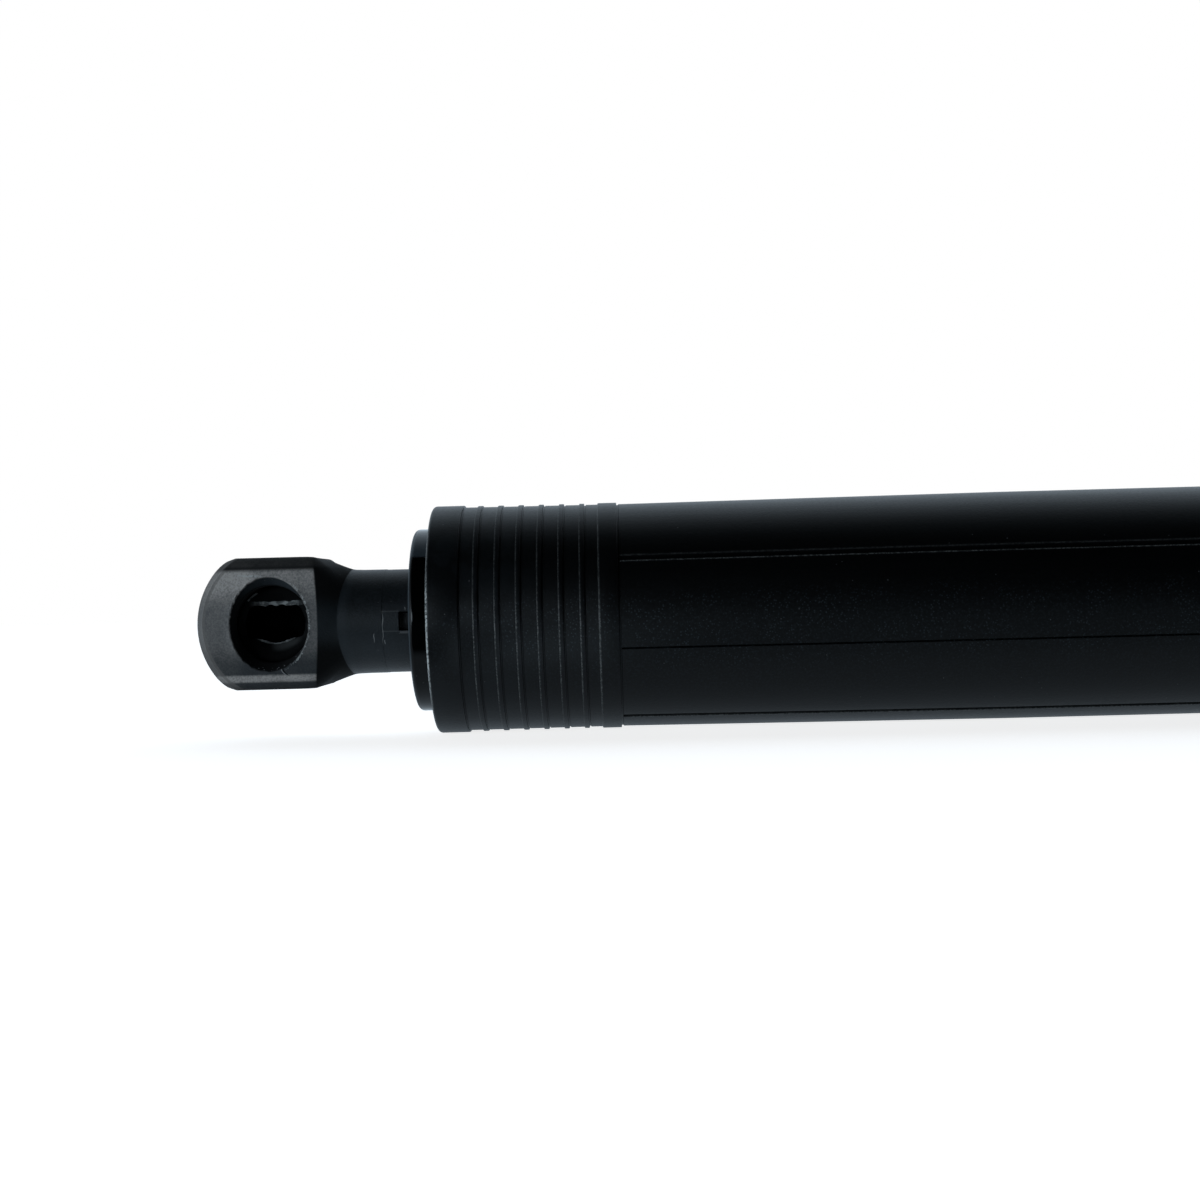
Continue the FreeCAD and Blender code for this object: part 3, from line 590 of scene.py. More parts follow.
def face_zone(finish):
    """1 on the head's flat front face, whose right edge bows to the left away from the middle."""
    right_edge = finish.x + finish.z.squared() * FACE_BOW
    below_top = finish.z.falls(FACE_TOP - 0.4, FACE_TOP + 0.4)
    return finish.ahead.rises(7.6, 9.7) * below_top * right_edge.falls(FACE_END - 0.15, FACE_END + 0.15)


def face_colour(finish, clouds, speckle):
    """The face's rubbed plastic, painted lighter as if lit from the left front: palest at the top left,
    darker below, with a painted highlight along the bottom bevel.
    """
    x, z = finish.x, finish.z
    # Painted light: the face lighter toward its top and its left where the lamp falls, a painted highlight
    # along its bottom bevel, and painted shade lower down
    top = z.rises(2.0, 7.5) * (0.75 + 0.65 * (-x).rises(1.0, 4.0))
    bottom = z.near(-8.5, 0.75) * 1.6 - (-z).rises(3.5, 6.5) * 0.36
    painted_light = 0.48 + top + bottom + x.near(-7.5, 4.0) * 0.13
    texture = 0.2 + clouds * 0.32 + speckle * 0.28
    return finish.mixed(texture * painted_light, FACE_DARK, FACE_RUBBED_AND_LIT)


def face_marks(finish, face, oval, grain):
    """Layers of marks on the face: a painted highlight inside the nose's edge, a painted highlight on the
    edge's bevel, a scuff above the mouth, a painted glint on the mouth's rim, and a hair crack below it, with
    a painted glint along its edge, that follows x = 2 + 0.8 ((z + 6.9) / 1.1) squared."""
    x, z = finish.x, finish.z
    from_nose = distance(x - NOSE_CENTRE, z)
    # Painted highlight along the inner edge of the nose's chamfer
    line = from_nose.near(NOSE_RADIUS - 1.15, 0.4) * (-x).rises(3.0, 6.0)
    # Painted highlight of a lit bevel along the nose's edge
    bevel_highlight = from_nose.rises(NOSE_RADIUS - 1.0, NOSE_RADIUS - 0.7) * (-x).rises(3.0, 5.0)
    scuff = (z + x * 0.06).near(7.5, 0.22) * x.near(-2.9, 2.6) * grain.rises(0.38, 0.5)
    # Painted glint: a thin light line on the right side of the mouth's rim
    rim = oval.near(1.05, 0.06) * x.rises(2.0, 4.5) * grain.rises(0.48, 0.60)
    from_crack = x - 2.0 - 0.8 * ((z + 6.9) / 1.1).squared()
    cracked = z.near(-7.45, 0.85) * face
    return [
        (line * face * 0.7, NOSE_EDGE_HIGHLIGHT),
        (bevel_highlight * finish.ahead.rises(6.0, 8.0) * 0.6, NOSE_BEVEL_HIGHLIGHT),
        ((scuff + rim).capped() * face * 0.7, FACE_SCUFF_AND_GLINT),
        (from_crack.near(0.0, 0.17) * cracked, CRACK_BLACK),
        # Painted glint along one side of the hair crack
        (from_crack.near(-0.25, 0.13) * cracked, CRACK_EDGE_GLINT),
    ]


# Scratches on the neck: the place along it, and the heights between which each runs
NECK_SCRATCHES = ((17.6, -3.4, 1.4), (16.25, -3.3, -1.9), (21.2, 1.75, 2.2), (17.9, -3.6, -2.9))


def neck_marks(finish):
    """Layers of marks on the neck: dust, wavering scratches, two faint mould lines that lead to the notch, a
    painted highlight on the edge below it, and painted shade that makes the notch black."""
    x, z = finish.x, finish.z
    facing = finish.ahead.rises(4.0, 5.0)
    wavering = x + finish.noise(1.5) * 0.5 - 0.25
    mould_lines = z.size().near(NOTCH_HALF + 0.08, 0.14) * x.rises(17.4, 17.6) * x.falls(20.1, 20.3)
    # Painted highlight on the edge below the notch
    notch_edge_highlight = z.near(-NOTCH_HALF - 0.28, 0.26) * x.rises(NOTCH_START, NOTCH_START + 0.3)
    marks = mould_lines * 0.18 + notch_edge_highlight * 0.4
    for place, low, high in NECK_SCRATCHES:
        marks = marks + wavering.near(place, 0.09) * z.near((low + high) / 2, (high - low) * 0.65)
    dust = finish.flecks(1.4, 0.05) * 0.4
    # Painted shade: the notch's recess painted black
    notch = z.size().falls(NOTCH_HALF - 0.02, NOTCH_HALF + 0.06) * facing
    notch = notch * x.rises(NOTCH_START - 0.05, NOTCH_START + 0.05)
    return [((dust + marks * facing * 0.8).capped(), NECK_MARKS_AND_HIGHLIGHT), (notch, BLACK)]


def mouth_colour(finish, oval, clouds):
    """Painted shade that makes the mouth black inside, with painted dim light in a crescent at its top, and
    specks and flakes near its rim.
    """
    # Painted light: a dim crescent at the top inside the mouth
    lit_crescent = finish.z.rises(3.0, 6.0) * finish.ahead.rises(7.85, 8.3) * (0.5 + 0.5 * clouds)
    specks = finish.flecks(0.8, 0.14) * oval.rises(0.70, 0.90)
    flakes = finish.flecks(0.55, 0.24) * oval.rises(0.80, 0.90) * (finish.x - finish.z).rises(3.5, 5.5)
    return finish.layered(
        MOUTH_SHADE, (lit_crescent, MOUTH_CRESCENT_LIGHT), (specks, MOUTH_SPECK), (flakes * 0.8, MOUTH_FLAKE)
    )


def head_finish(name, far_end=False):
    """Dark filled plastic: a coarse front face, rubbed and painted lighter as if lit, with painted highlights
    on its edges and one hair crack; painted shade on the shoulder's slope with painted light on its middle; a
    smoother neck with painted light below, faint mould lines and scratches; painted shade inside the mouth."""
    finish = Finish(name, far_end)
    z = finish.z
    grain = finish.noise(0.30, detail=3.0, roughness=0.65)
    speckle = grain.rises(0.32, 0.68)
    clouds = finish.noise(3.5, detail=3.0)
    face = face_zone(finish)
    oval = (finish.x / MOUTH_X).squared() + (z / MOUTH_Z).squared()
    # Painted shade: the inside of the mouth is painted near black
    inside = oval.falls(0.97, 1.01) * finish.y.rises(FRONT_Y + 0.05, FRONT_Y + 0.4)
    inside = inside * finish.y.falls(BORE_FLOOR + 0.45, BORE_FLOOR + 0.85)
    past_crease = finish.x - CREASE_X - z.squared() * CREASE_BOW
    on_neck = past_crease.rises(-0.1, 0.1)
    # Painted shade: the shoulder's slope above and below its middle painted black
    shoulder_shade = z.size().rises(2.0, 5.0) * (1 - on_neck)
    # Painted light on the middle of the shoulder's slope and on the neck just past the crease
    ridge_light = z.size().falls(1.0, 4.0) * (1 - on_neck) * 0.7 + on_neck * past_crease.falls(0.6, 2.2) * 0.6
    shade = finish.layered(
        finish.mixed(clouds * 0.5 + speckle * 0.5, HEAD_BLACK, HEAD_SKIN),
        (shoulder_shade * 0.95, SHOULDER_SHADE),
        (ridge_light, SHOULDER_RIDGE_LIGHT),
        # Painted light on the neck's lower half
        (on_neck * (-z).rises(-4.0, 4.0) * 0.4, NECK_UNDERSIDE_LIGHT),
        # The face's colour, and a tenth of it on the band above the face as a painted reflection
        (face + z.rises(8.6, 9.4) * 0.10 * (1 - face), face_colour(finish, clouds, speckle)),
        *face_marks(finish, face, oval, grain),
        *neck_marks(finish),
    )
    colour = finish.mixed(inside, shade, mouth_colour(finish, oval, clouds))
    rough = 0.40 + face * 0.16 + grain * 0.12 + inside * 0.4 + shoulder_shade * 0.40
    return finish.done(colour, rough, grain, 0.05, {"Specular IOR Level": 0.24})


def cup_finish(name, far_end=False):
    """Black slippery plastic of the snap cup, with painted glints along the free edges of its lips and on an
    arc above the upper lip, and painted light on the lower lip's body. The lower lip's edge follows z = 0.8
    (x / 3) squared - 2.95."""
    finish = Finish(name, far_end)
    x, z = finish.x, finish.z
    grain = finish.noise(0.5)
    broken = finish.noise(0.7).rises(0.42, 0.62)
    uneven = finish.noise(1.6, detail=1.0) * 0.62
    below_lip = 0.8 * (x / 3.0).squared() - z - 2.95
    # Painted glints along the lips' free edges and on an arc above the upper lip
    lower = below_lip.near(0.0, 0.32) * (0.35 + 0.35 * broken)
    upper = ((z - 3.28).size() - uneven).falls(0.0, 0.14) * (0.35 + 0.65 * broken)
    glint = distance(x, z).near(5.72, 0.2) * z.rises(3.2, 3.8) * (-x).rises(1.2, 2.2) * broken
    wear_and_highlight = ((lower + upper) * x.near(0.3, 4.6) + glint * 0.4) * finish.ahead.rises(4.2, 4.5)
    # Painted light on the lower lip's body
    body = below_lip.rises(0.2, 0.4) * below_lip.falls(0.7, 1.7) * x.near(1.8, 3.0)
    colour = finish.layered(
        finish.mixed(grain, CUP_BLACK, CUP_GRAIN), (body, LIP_BODY_LIGHT), (wear_and_highlight.capped(), LIP_EDGE_GLINT)
    )
    return finish.done(colour, 0.5 + grain * 0.12, grain, 0.02, {"Specular IOR Level": 0.06})


def metal_finish(name, level, rough):
    """Bare or plated metal with fine lines in its working direction and slightly uneven tone."""
    finish = Finish(name)
    lines = finish.noise(0.25, detail=3.0, stretch=(12, 1, 1))
    colour = finish.mixed(finish.noise(7.0), grey(level * 0.86), grey(level))
    return finish.done(colour, rough + lines * 0.12, lines, 0.004, {"Metallic": 1.0})


def plain_plastic(name, level, rough, tint=NEUTRAL):
    """Moulded plastic of an inner part: an even tone with a light grain."""
    finish = Finish(name)
    grain = finish.noise(0.4)
    colour = finish.mixed(finish.noise(5.0), grey(level * 0.85, tint), grey(level, tint))
    return finish.done(colour, rough + grain * 0.1, grain, 0.015)


# Ball socket


def block_outline():
    """The block's section as places on an inner rectangle and outward directions, going round from the
    front: place + radius x direction is a point of the rounded rectangle. Two columns close together stand
    at each side wall of the notch."""
    near, far = FRONT_Y + EDGE_ROUND, BACK_Y - EDGE_ROUND
    low, high = BOTTOM_Z + EDGE_ROUND, TOP_Z - EDGE_ROUND
    corners = np.array([(near, low), (near, high), (far, high), (far, low)])
    wall = -FRONT_Y * NOTCH_HALF / math.sqrt(NECK_RADIUS**2 - NOTCH_HALF**2)
    walls = np.array([-wall - SPLIT, -wall + SPLIT, wall - SPLIT, wall + SPLIT])
    front = np.sort(np.concatenate([np.linspace(0, 1, 57), (walls - low) / (high - low)]))
    end, back = np.linspace(0, 1, 15), np.linspace(0, 1, 31)
    places, headings = [], []
    for side, shares in enumerate([front, end, back, end]):
        first, last = corners[side], corners[(side + 1) % 4]
        heading = HALF_TURN - side * QUARTER_TURN
        bend = np.linspace(heading, heading - QUARTER_TURN, 11)[1:-1]
        places += [first + (last - first) * shares[:, None], np.repeat(last[None], len(bend), axis=0)]
        headings += [np.full(len(shares), heading), bend]
    heading = np.concatenate(headings)
    return np.concatenate(places), np.stack([np.cos(heading), np.sin(heading)], -1), len(front)


def nose_x(z):
    """Where the round nose's wall stands at a height z."""
    return NOSE_CENTRE - np.sqrt(NOSE_RADIUS**2 - z**2)


def nose_rows(places, directions):
    """Rows of the nose: the section shrunk toward its middle and laid on the nose's arc, then its rounded
    edge, which grows to the full section while it moves right by the fillet's size along the arc's slant."""
    toward_front = np.clip(-directions[:, 0], 0, 1)
    fillet = NOSE_FILLET + (FRONT_FILLET - NOSE_FILLET) * toward_front
    inset = places + (EDGE_ROUND - fillet[:, None]) * directions
    middle = np.array([(FRONT_Y + BACK_Y) / 2, 0.0])
    rows = []
    for share in (0.0, 0.3, 0.6, 0.85, 0.97):
        ring = middle + share * (inset - middle)
        rows.append(np.column_stack([nose_x(ring[:, 1]), ring]))
    for share in (0.0, 0.5, 1.0):
        ring = places + (EDGE_ROUND - fillet[:, None] * (1 - share)) * directions
        slant = NOSE_RADIUS / np.sqrt(NOSE_RADIUS**2 - ring[:, 1] ** 2)
        rows.append(np.column_stack([nose_x(ring[:, 1]) + fillet * slant * share, ring]))
    return rows


def head_grid():
    """Points of the outer skin, row by row from the middle of the nose to the shank's end. A row is the
    block's outline; it bends onto the nose's arc on the left and becomes the neck's circle on the right,
    outline + share x (circle - outline), less a depth for the step, the notch and the neck's end."""
    places, directions, front_columns = block_outline()
    outline = places + EDGE_ROUND * directions
    rows = nose_rows(places, directions)
    first_front_row = len(rows) - 1
    edge_x = rows[-1][:, 0]
    for share in np.linspace(0, 1, 11)[1:]:
        rows.append(np.column_stack([edge_x + share * (BLOCK_START - edge_x), outline]))

    circle = NECK_RADIUS * outline / np.linalg.norm(outline, axis=1)[:, None]
    sideways = (circle[:, 1] / NECK_RADIUS) ** 2
    slope_start = 7.65 - 0.75 * sideways
    slope = 2.75 + 2.4 * sideways
    softness = 0.008 + 0.14 * sideways
    in_notch = (np.abs(circle[:, 1]) < NOTCH_HALF) & (circle[:, 0] < 0)
    stations = [*np.linspace(BLOCK_START, BLOCK_END, 10)[1:], slope_start - 0.35]
    last_front_row = len(rows) + len(stations) - 1
    bends = np.array([-0.02, -0.008, 0.0, 0.008, 0.02, 0.05])
    shares = [*bends, *np.linspace(0.1, 0.9, 9), *(1 - bends[::-1]), 1.1]
    stations += [slope_start + share * slope for share in shares]
    stations += [14.0, NECK_STEP_X - 0.05, NECK_STEP_X + 0.05, NOTCH_START - SPLIT, NOTCH_START + SPLIT, 21.6]
    stations += [NECK_END - NECK_ROUND, NECK_END - 0.08, NECK_END]
    for station in stations:
        x = np.broadcast_to(station, sideways.shape)
        share = soft_clip((x - slope_start) / slope, softness)[:, None]
        ring = outline + share * (circle - outline)
        shrink = NECK_STEP_DEPTH * (x > NECK_STEP_X) + NOTCH_DEPTH * (in_notch & (x > NOTCH_START))
        into_round = np.maximum(0, x - NECK_END + NECK_ROUND)
        shrink = shrink + NECK_ROUND - np.sqrt(NECK_ROUND**2 - into_round**2)
        ring = ring * (1 - shrink / np.linalg.norm(ring, axis=1))[:, None]
        rows.append(np.column_stack([x, ring]))

    shank = [(NECK_END, SHANK_RADIUS), (SHANK_END - SHANK_CHAMFER, SHANK_RADIUS)]
    shank += [(SHANK_END, SHANK_RADIUS - SHANK_CHAMFER), (SHANK_END, 0.0)]
    for x, radius in shank:
        rows.append(np.column_stack([np.full(len(circle), x), circle / NECK_RADIUS * radius]))
    return np.array(rows), first_front_row, last_front_row, front_columns


def mouth_rings(border):
    """Rings from the border of the open front patch to the oval rim with its ragged flash, down the flared
    entry into the round bore and over its floor. Each ring keeps the border point's angle round the ball."""
    angle = np.arctan2(border[:, 2], border[:, 0])
    oval = 1 / np.sqrt((np.cos(angle) / MOUTH_X) ** 2 + (np.sin(angle) / MOUTH_Z) ** 2)
    ragged = waves(angle, (0.05, 19, 0.0), (0.05, 31, 1.3), (0.04, 53, 0.4))
    ragged = ragged * (1 + waves(angle, (0.6, 3, 0.5)))
    outer = np.hypot(border[:, 0], border[:, 2])
    rim = oval + 0.35
    profile = [(outer + share * (rim - outer), border[:, 1]) for share in (0.35, 0.7)]
    profile += [
        (rim, FRONT_Y),
        (oval + 0.18, FRONT_Y - 0.05 - ragged * 0.6),
        (oval + ragged * 0.7, FRONT_Y - 0.02 - ragged),
        (oval - 0.10 + ragged * 0.5, FRONT_Y + RIM_DEPTH),
    ]
    for share in (0.25, 0.5, 0.75, 1.0):
        flare_y = FRONT_Y + RIM_DEPTH + share * (FLARE_DEPTH - RIM_DEPTH)
        profile.append((oval - RIM_INSET + share * (BORE_RADIUS - oval), flare_y))
    profile.append((BORE_RADIUS - RIM_INSET, FRONT_Y + FLARE_DEPTH + 0.6))
    profile += [(BORE_RADIUS, y) for y in (-4.0, 2.0, BORE_FLOOR)]
    profile.append((0.0, BORE_FLOOR))
    return np.concatenate([border[None], round_mouth(angle, profile)])


def socket_shape():
    """The whole socket: the skin without its front patch, and the mouth joined to the patch's border."""
    skin, top, bottom, front = head_grid()
    rows, columns = skin.shape[:2]
    faces = joined_rows(rows, columns).reshape(rows - 1, columns, 4)
    kept = np.ones(faces.shape[:2], bool)
    kept[top:bottom, : front - 1] = False
    sides = [skin[top, : front - 1], skin[top:bottom, front - 1]]
    sides += [skin[bottom, front - 1 : 0 : -1], skin[bottom:top:-1, 0]]
    mouth = mouth_rings(np.concatenate(sides))
    points = np.concatenate([skin.reshape(-1, 3), mouth.reshape(-1, 3)])
    mouth_faces = joined_rows(*mouth.shape[:2], start=rows * columns)
    return points, np.concatenate([faces[kept], mouth_faces])


def cup_shape():
    """The cup as rings (radius, y) round the ball's axis. The entry's radius at an angle is the smaller of
    a circle's and the distance to a lip's free edge, and the lower lip's edge bows away from the ball."""
    angle = even_angles(192)
    sine = np.sin(angle)
    lower = np.clip(-sine * 3, 0, 1)
    upper = np.clip(sine * 3, 0, 1)
    edge = LIP_EDGE - 0.95 * lower + 0.9 * np.clip(-sine, 0, 1) ** 3 + upper * waves(angle, (0.13, 11, 0.5))
    to_edge = edge / np.maximum(np.abs(sine), 0.05)
    entry = (ENTRY_RADIUS**-14 + to_edge**-14) ** (-1 / 14)
    uneven = waves(angle, (0.05, 9, 0.7), (0.03, 17, 0.0))
    lip_front = CUP_FRONT + LIP_DIP * (CUP_RADIUS - entry) / (CUP_RADIUS - LIP_EDGE)
    lip_back = CUP_FRONT + LIP_THICKNESS + LIP_DIP
    shoulder = CUP_RADIUS - CUP_ROUND
    profile = [
        (0.0, BORE_FLOOR),
        (CUP_RADIUS - CUP_CHAMFER, BORE_FLOOR),
        (CUP_RADIUS, BORE_FLOOR - CUP_CHAMFER),
        (CUP_RADIUS, CUP_FRONT + CUP_ROUND),
        (CUP_RADIUS - 0.08, CUP_FRONT + 0.08),
        (shoulder, CUP_FRONT),
    ]
    for share in (0.35, 0.7, 1.0):
        across = shoulder + share * (entry + ENTRY_ROUND - shoulder)
        profile.append((across, CUP_FRONT + (lip_front - CUP_FRONT) * share**2))
    profile += [
        (entry + 0.06, lip_front + 0.06 + uneven),
        (entry, lip_front + 0.2 + uneven),
        (entry + 0.02, lip_back - 0.06),
        (np.minimum(entry + 0.3, SEAT_RADIUS), lip_back),
        (SEAT_RADIUS, lip_back + 0.1),
    ]
    for bend in np.linspace(0, QUARTER_TURN, 14):
        profile.append((SEAT_RADIUS * math.cos(bend), SEAT_RADIUS * math.sin(bend)))
    rings = round_mouth(angle, profile)
    return rings, joined_rows(*rings.shape[:2])


def at_far_end(shape):
    """The same shape turned half round about the mouth's axis, at the other ball."""
    points, faces = shape
    return points * np.array([-1.0, 1.0, -1.0]) + np.array([BALL_TO_BALL, 0.0, 0.0]), faces


# Long sleeve with its collar


def sleeve_angles():
    """Angles round the sleeve, close together at the four grooves and the two seams."""
    even = even_angles(144)
    seams = SEAM_ANGLE + np.array([0.0, HALF_TURN])
    grooves = np.concatenate([seams + GROOVE_ANGLE, seams - GROOVE_ANGLE])
    half = np.array([0.35, 0.74, 0.82, 0.91, 1.0, 1.08, 1.3])
    across = GROOVE_HALF * np.concatenate([-half, [0.0], half])
    seam_across = SEAM_HALF * np.array([-2.0, -1.0, -0.5, 0.0, 0.5, 1.0, 2.0])
    close = np.concatenate([(grooves[:, None] + across).ravel(), (seams[:, None] + seam_across).ravel()])
    close = close % TURN
    gap = np.abs((even[:, None] - close + HALF_TURN) % TURN - HALF_TURN).min(1)
    return np.sort(np.concatenate([even[gap > math.radians(0.6)], close]))


def sleeve_carving(x, radius, angle):
    """Depth cut from the outer face behind the collar: a soft-edged groove either side of each seam, and a
    fine V along the seam itself."""
    from_seam = (angle - SEAM_ANGLE + QUARTER_TURN) % HALF_TURN - QUARTER_TURN
    across = np.abs(np.abs(from_seam) - GROOVE_ANGLE) / GROOVE_HALF
    groove = GROOVE_DEPTH * (1 - soft_clip((across - 0.80) / 0.22, 0.12))
    seam = SEAM_DEPTH * np.clip(1 - np.abs(from_seam) / SEAM_HALF, 0, 1)
    outside = (x > COLLAR_END + 0.3) & (x < SLEEVE_END - 0.1) & (radius > 17.5)
    return np.where(outside, -1.0, 0.0) * (groove + seam)


def rib_corners(left):
    """Corners of a rib and of the narrow groove at its right foot, on a collar that tapers to the right."""
    right = left + RIB_WIDTH
    base = COLLAR_RADIUS - COLLAR_TAPER * (left - WIDE_BAND_END) / (COLLAR_END - WIDE_BAND_END)
    return [
        (left, base, 0.04),
        (left + 0.03, base + RIB_HEIGHT, 0.08),
        (right - 0.03, base + RIB_HEIGHT, 0.08),
        (right, base - FOOT_DEPTH, 0.04),
        (right + 0.22, base - FOOT_DEPTH, 0.04),
        (right + 0.26, base, 0.03),
    ]


def sleeve_outline():
    """The sleeve's section: collar with two bands and six ribs, tapering tube, end face, bore and lip."""
    corners = [
        (COLLAR_START, LIP_BORE, 0.2),
        (COLLAR_START, WIDE_BAND_RADIUS, 0.6),
        (WIDE_BAND_END, WIDE_BAND_RADIUS, 0.12),
        (WIDE_BAND_END, COLLAR_RADIUS - FOOT_DEPTH, 0.04),
        (WIDE_BAND_END + 0.25, COLLAR_RADIUS - FOOT_DEPTH, 0.04),
        (WIDE_BAND_END + 0.3, COLLAR_RADIUS, 0.03),
    ]
    for number in range(RIB_COUNT):
        corners += rib_corners(RIB_START + RIB_PITCH * number)
    corners += [
        (NARROW_BAND_START, 18.02, 0.06),
        (NARROW_BAND_START + 0.05, NARROW_BAND_RADIUS, 0.12),
        (COLLAR_END, NARROW_BAND_RADIUS, 0.12),
        (COLLAR_END + 0.03, SLEEVE_START_RADIUS - FOOT_DEPTH, 0.04),
        (COLLAR_END + 0.28, SLEEVE_START_RADIUS - FOOT_DEPTH, 0.04),
        (COLLAR_END + 0.32, SLEEVE_START_RADIUS, 0.0),
        (85.0, 18.18, 0.0),
    ]
    corners += [(x, SLEEVE_RADIUS, 0.0) for x in (117.0, 160.0, 220.0, 280.0, 340.0, 400.0, SLEEVE_END - 0.3)]
    corners += [(SLEEVE_END, SLEEVE_RADIUS - 0.3, 0.0), (SLEEVE_END, SLEEVE_BORE, 0.0)]
    corners += [(LIP_END, SLEEVE_BORE, 0.0), (LIP_END, LIP_BORE, 0.0)]
    return rounded(corners)


# Tubes, spring, spindle and cable outlet


def inner_tube_outline():
    """The sliding tube's section: end wall, rolled rim, long wall, guide bead and bore."""
    corners = [(TUBE_START, SHANK_RADIUS, 0.0), (TUBE_START, TUBE_RADIUS, RIM_ROUND)]
    corners += [(x, TUBE_RADIUS, 0.0) for x in (60.0, 120.0, 200.0, BEAD_START)]
    corners += [
        (BEAD_START, BEAD_RADIUS, 0.4),
        (BEAD_END, BEAD_RADIUS, 0.6),
        (BEAD_END, TUBE_BORE, 0.0),
        (TUBE_START + END_WALL, TUBE_BORE, 0.0),
        (TUBE_START + END_WALL, SHANK_RADIUS, 0.0),
    ]
    return rounded(corners, steps=8)


def housing_tube_outline():
    """The metal tube's section with its end plug: open bore, board pocket, flange and threaded bore."""
    corners = [
        (HOUSING_START, HOUSING_BORE, 0.0),
        (HOUSING_START, HOUSING_RADIUS, 0.2),
        (240.0, HOUSING_RADIUS, 0.0),
        (SLEEVE_END, HOUSING_RADIUS, 0.0),
        (SLEEVE_END, SLEEVE_RADIUS, 0.25),
        (HOUSING_END, SLEEVE_RADIUS, 0.5),
        (HOUSING_END, 5.2, 0.3),
        (476.6, THREAD_BORE, 0.0),
        (THREAD_BORE_START, THREAD_BORE, 0.0),
        (THREAD_BORE_START, CABLE_WAY_RADIUS, 0.0),
        (POCKET_END, CABLE_WAY_RADIUS, 0.0),
        (POCKET_END, POCKET_RADIUS, 0.0),
        (PLUG_START, POCKET_RADIUS, 0.0),
        (PLUG_START, HOUSING_BORE, 0.0),
    ]
    return rounded(corners, steps=5)


def outlet_outline():
    """The rubber outlet's section: a stem in the wall and a bulged, ringed nose."""
    corners = [
        (469.3, OUTLET_BORE, 0.0),
        (469.3, OUTLET_RADIUS, 0.2),
        (HOUSING_END, OUTLET_RADIUS, 0.0),
        (477.5, OUTLET_RADIUS, 0.1),
        (477.7, 2.85, 0.1),
        (478.1, 2.85, 0.1),
        (478.3, OUTLET_RADIUS, 0.1),
        (479.3, OUTLET_RADIUS, 0.5),
        (479.3, OUTLET_BORE, 0.0),
    ]
    return rounded(corners)


def spring_shape():
    """The spring's wire, a circle of angle b carried along a helix of t turns: the radius is that of the
    coil plus w cos b, and x is the helix's advance plus w sin b, where w is the wire's radius. The first
    and the last turn lie close against their neighbours."""
    turns = np.linspace(0, SPRING_TURNS, SPRING_TURNS * 32 + 1)
    length = SPRING_END - SPRING_START - 2 * WIRE_RADIUS
    close = 2.08 * WIRE_RADIUS
    along = np.interp(turns, [0, 1, SPRING_TURNS - 1, SPRING_TURNS], [0, close, length - close, length])
    turns = np.pad(turns, 1, mode="edge")[:, None]
    along = np.pad(along, 1, mode="edge")[:, None]
    wire = np.full(turns.shape, WIRE_RADIUS)
    wire[[0, -1]] = 0.0
    around = even_angles(10)[None]
    radius = SPRING_RADIUS + wire * np.cos(around)
    x = SPRING_START + WIRE_RADIUS + along + wire * np.sin(around)
    points = round_axis(x, radius, TURN * turns)
    return points, joined_rows(*points.shape[:2])


def spindle_shape():
    """The screw spindle. Its radius follows a thread with sloped flanks, whose phase at a place x and an
    angle a is starts x (x / lead - a / 2 pi); the thread fades out before the journal and the spigot."""
    x = np.linspace(SPINDLE_START, THREAD_END, 940)[:, None]
    angle = even_angles(48)[None]
    phase = THREAD_STARTS * (x / THREAD_LEAD - angle / TURN) % 1.0
    groove = np.clip((np.abs(phase - 0.5) - 0.22) / 0.12, 0, 1)
    fade = np.clip((THREAD_END - 3.0 - x) / 2.0, 0, 1)
    thread = SPINDLE_RADIUS - THREAD_DEPTH * groove * fade
    steps = np.array(SPINDLE_STEPS)
    places = np.concatenate([x[:1], x, steps[:, :1]])
    plain = np.repeat(steps[:, 1:], angle.size, axis=1)
    radius = np.concatenate([np.zeros((1, angle.size)), thread, plain])
    points = round_axis(places, radius, angle)
    return points, joined_rows(*points.shape[:2])


# Camera, floor and light, placed in metres

CAMERA_PLACE = Vector((0.0548, -0.270, 0.0025))
CAMERA_AIM = Vector((0.05203, 0.0, 0.0025))
CAMERA_LENS = 49.74
CAMERA_SENSOR = 36.0
CAMERA_ROLL = math.radians(1.5)
NEAREST_SEEN = 0.01
FLOOR_Z = -0.01845
FLOOR_X = 0.25
FLOOR_HALF = 3.0
FLOOR_CELLS = 6
DARK_ROOM = 0.004
KEY_PLACE = Vector((-0.95, -0.75, 0.02))
KEY_AIM = Vector((0.05, 0.0, 0.0))
KEY_WIDTH = 1.4
KEY_HEIGHT = 0.4
KEY_POWER = 15.0


def add_camera():
    """The photograph's view: square to the strut, turned a little left, rolled so that the strut rises."""
    ahead = (CAMERA_AIM - CAMERA_PLACE).normalized()
    level = ahead.cross(Vector((0, 0, 1))).normalized()
    upright = level.cross(ahead)
    right = math.cos(CAMERA_ROLL) * level - math.sin(CAMERA_ROLL) * upright
    up = math.sin(CAMERA_ROLL) * level + math.cos(CAMERA_ROLL) * upright
    camera = bpy.data.objects.new("camera", bpy.data.cameras.new("camera"))
    camera.data.sensor_width = CAMERA_SENSOR
    camera.data.lens = CAMERA_LENS
    camera.data.clip_start = NEAREST_SEEN
    turn = Matrix((right, up, -ahead)).transposed().to_4x4()
    camera.matrix_world = Matrix.Translation(CAMERA_PLACE) @ turn
    bpy.context.scene.collection.objects.link(camera)
    bpy.context.scene.camera = camera


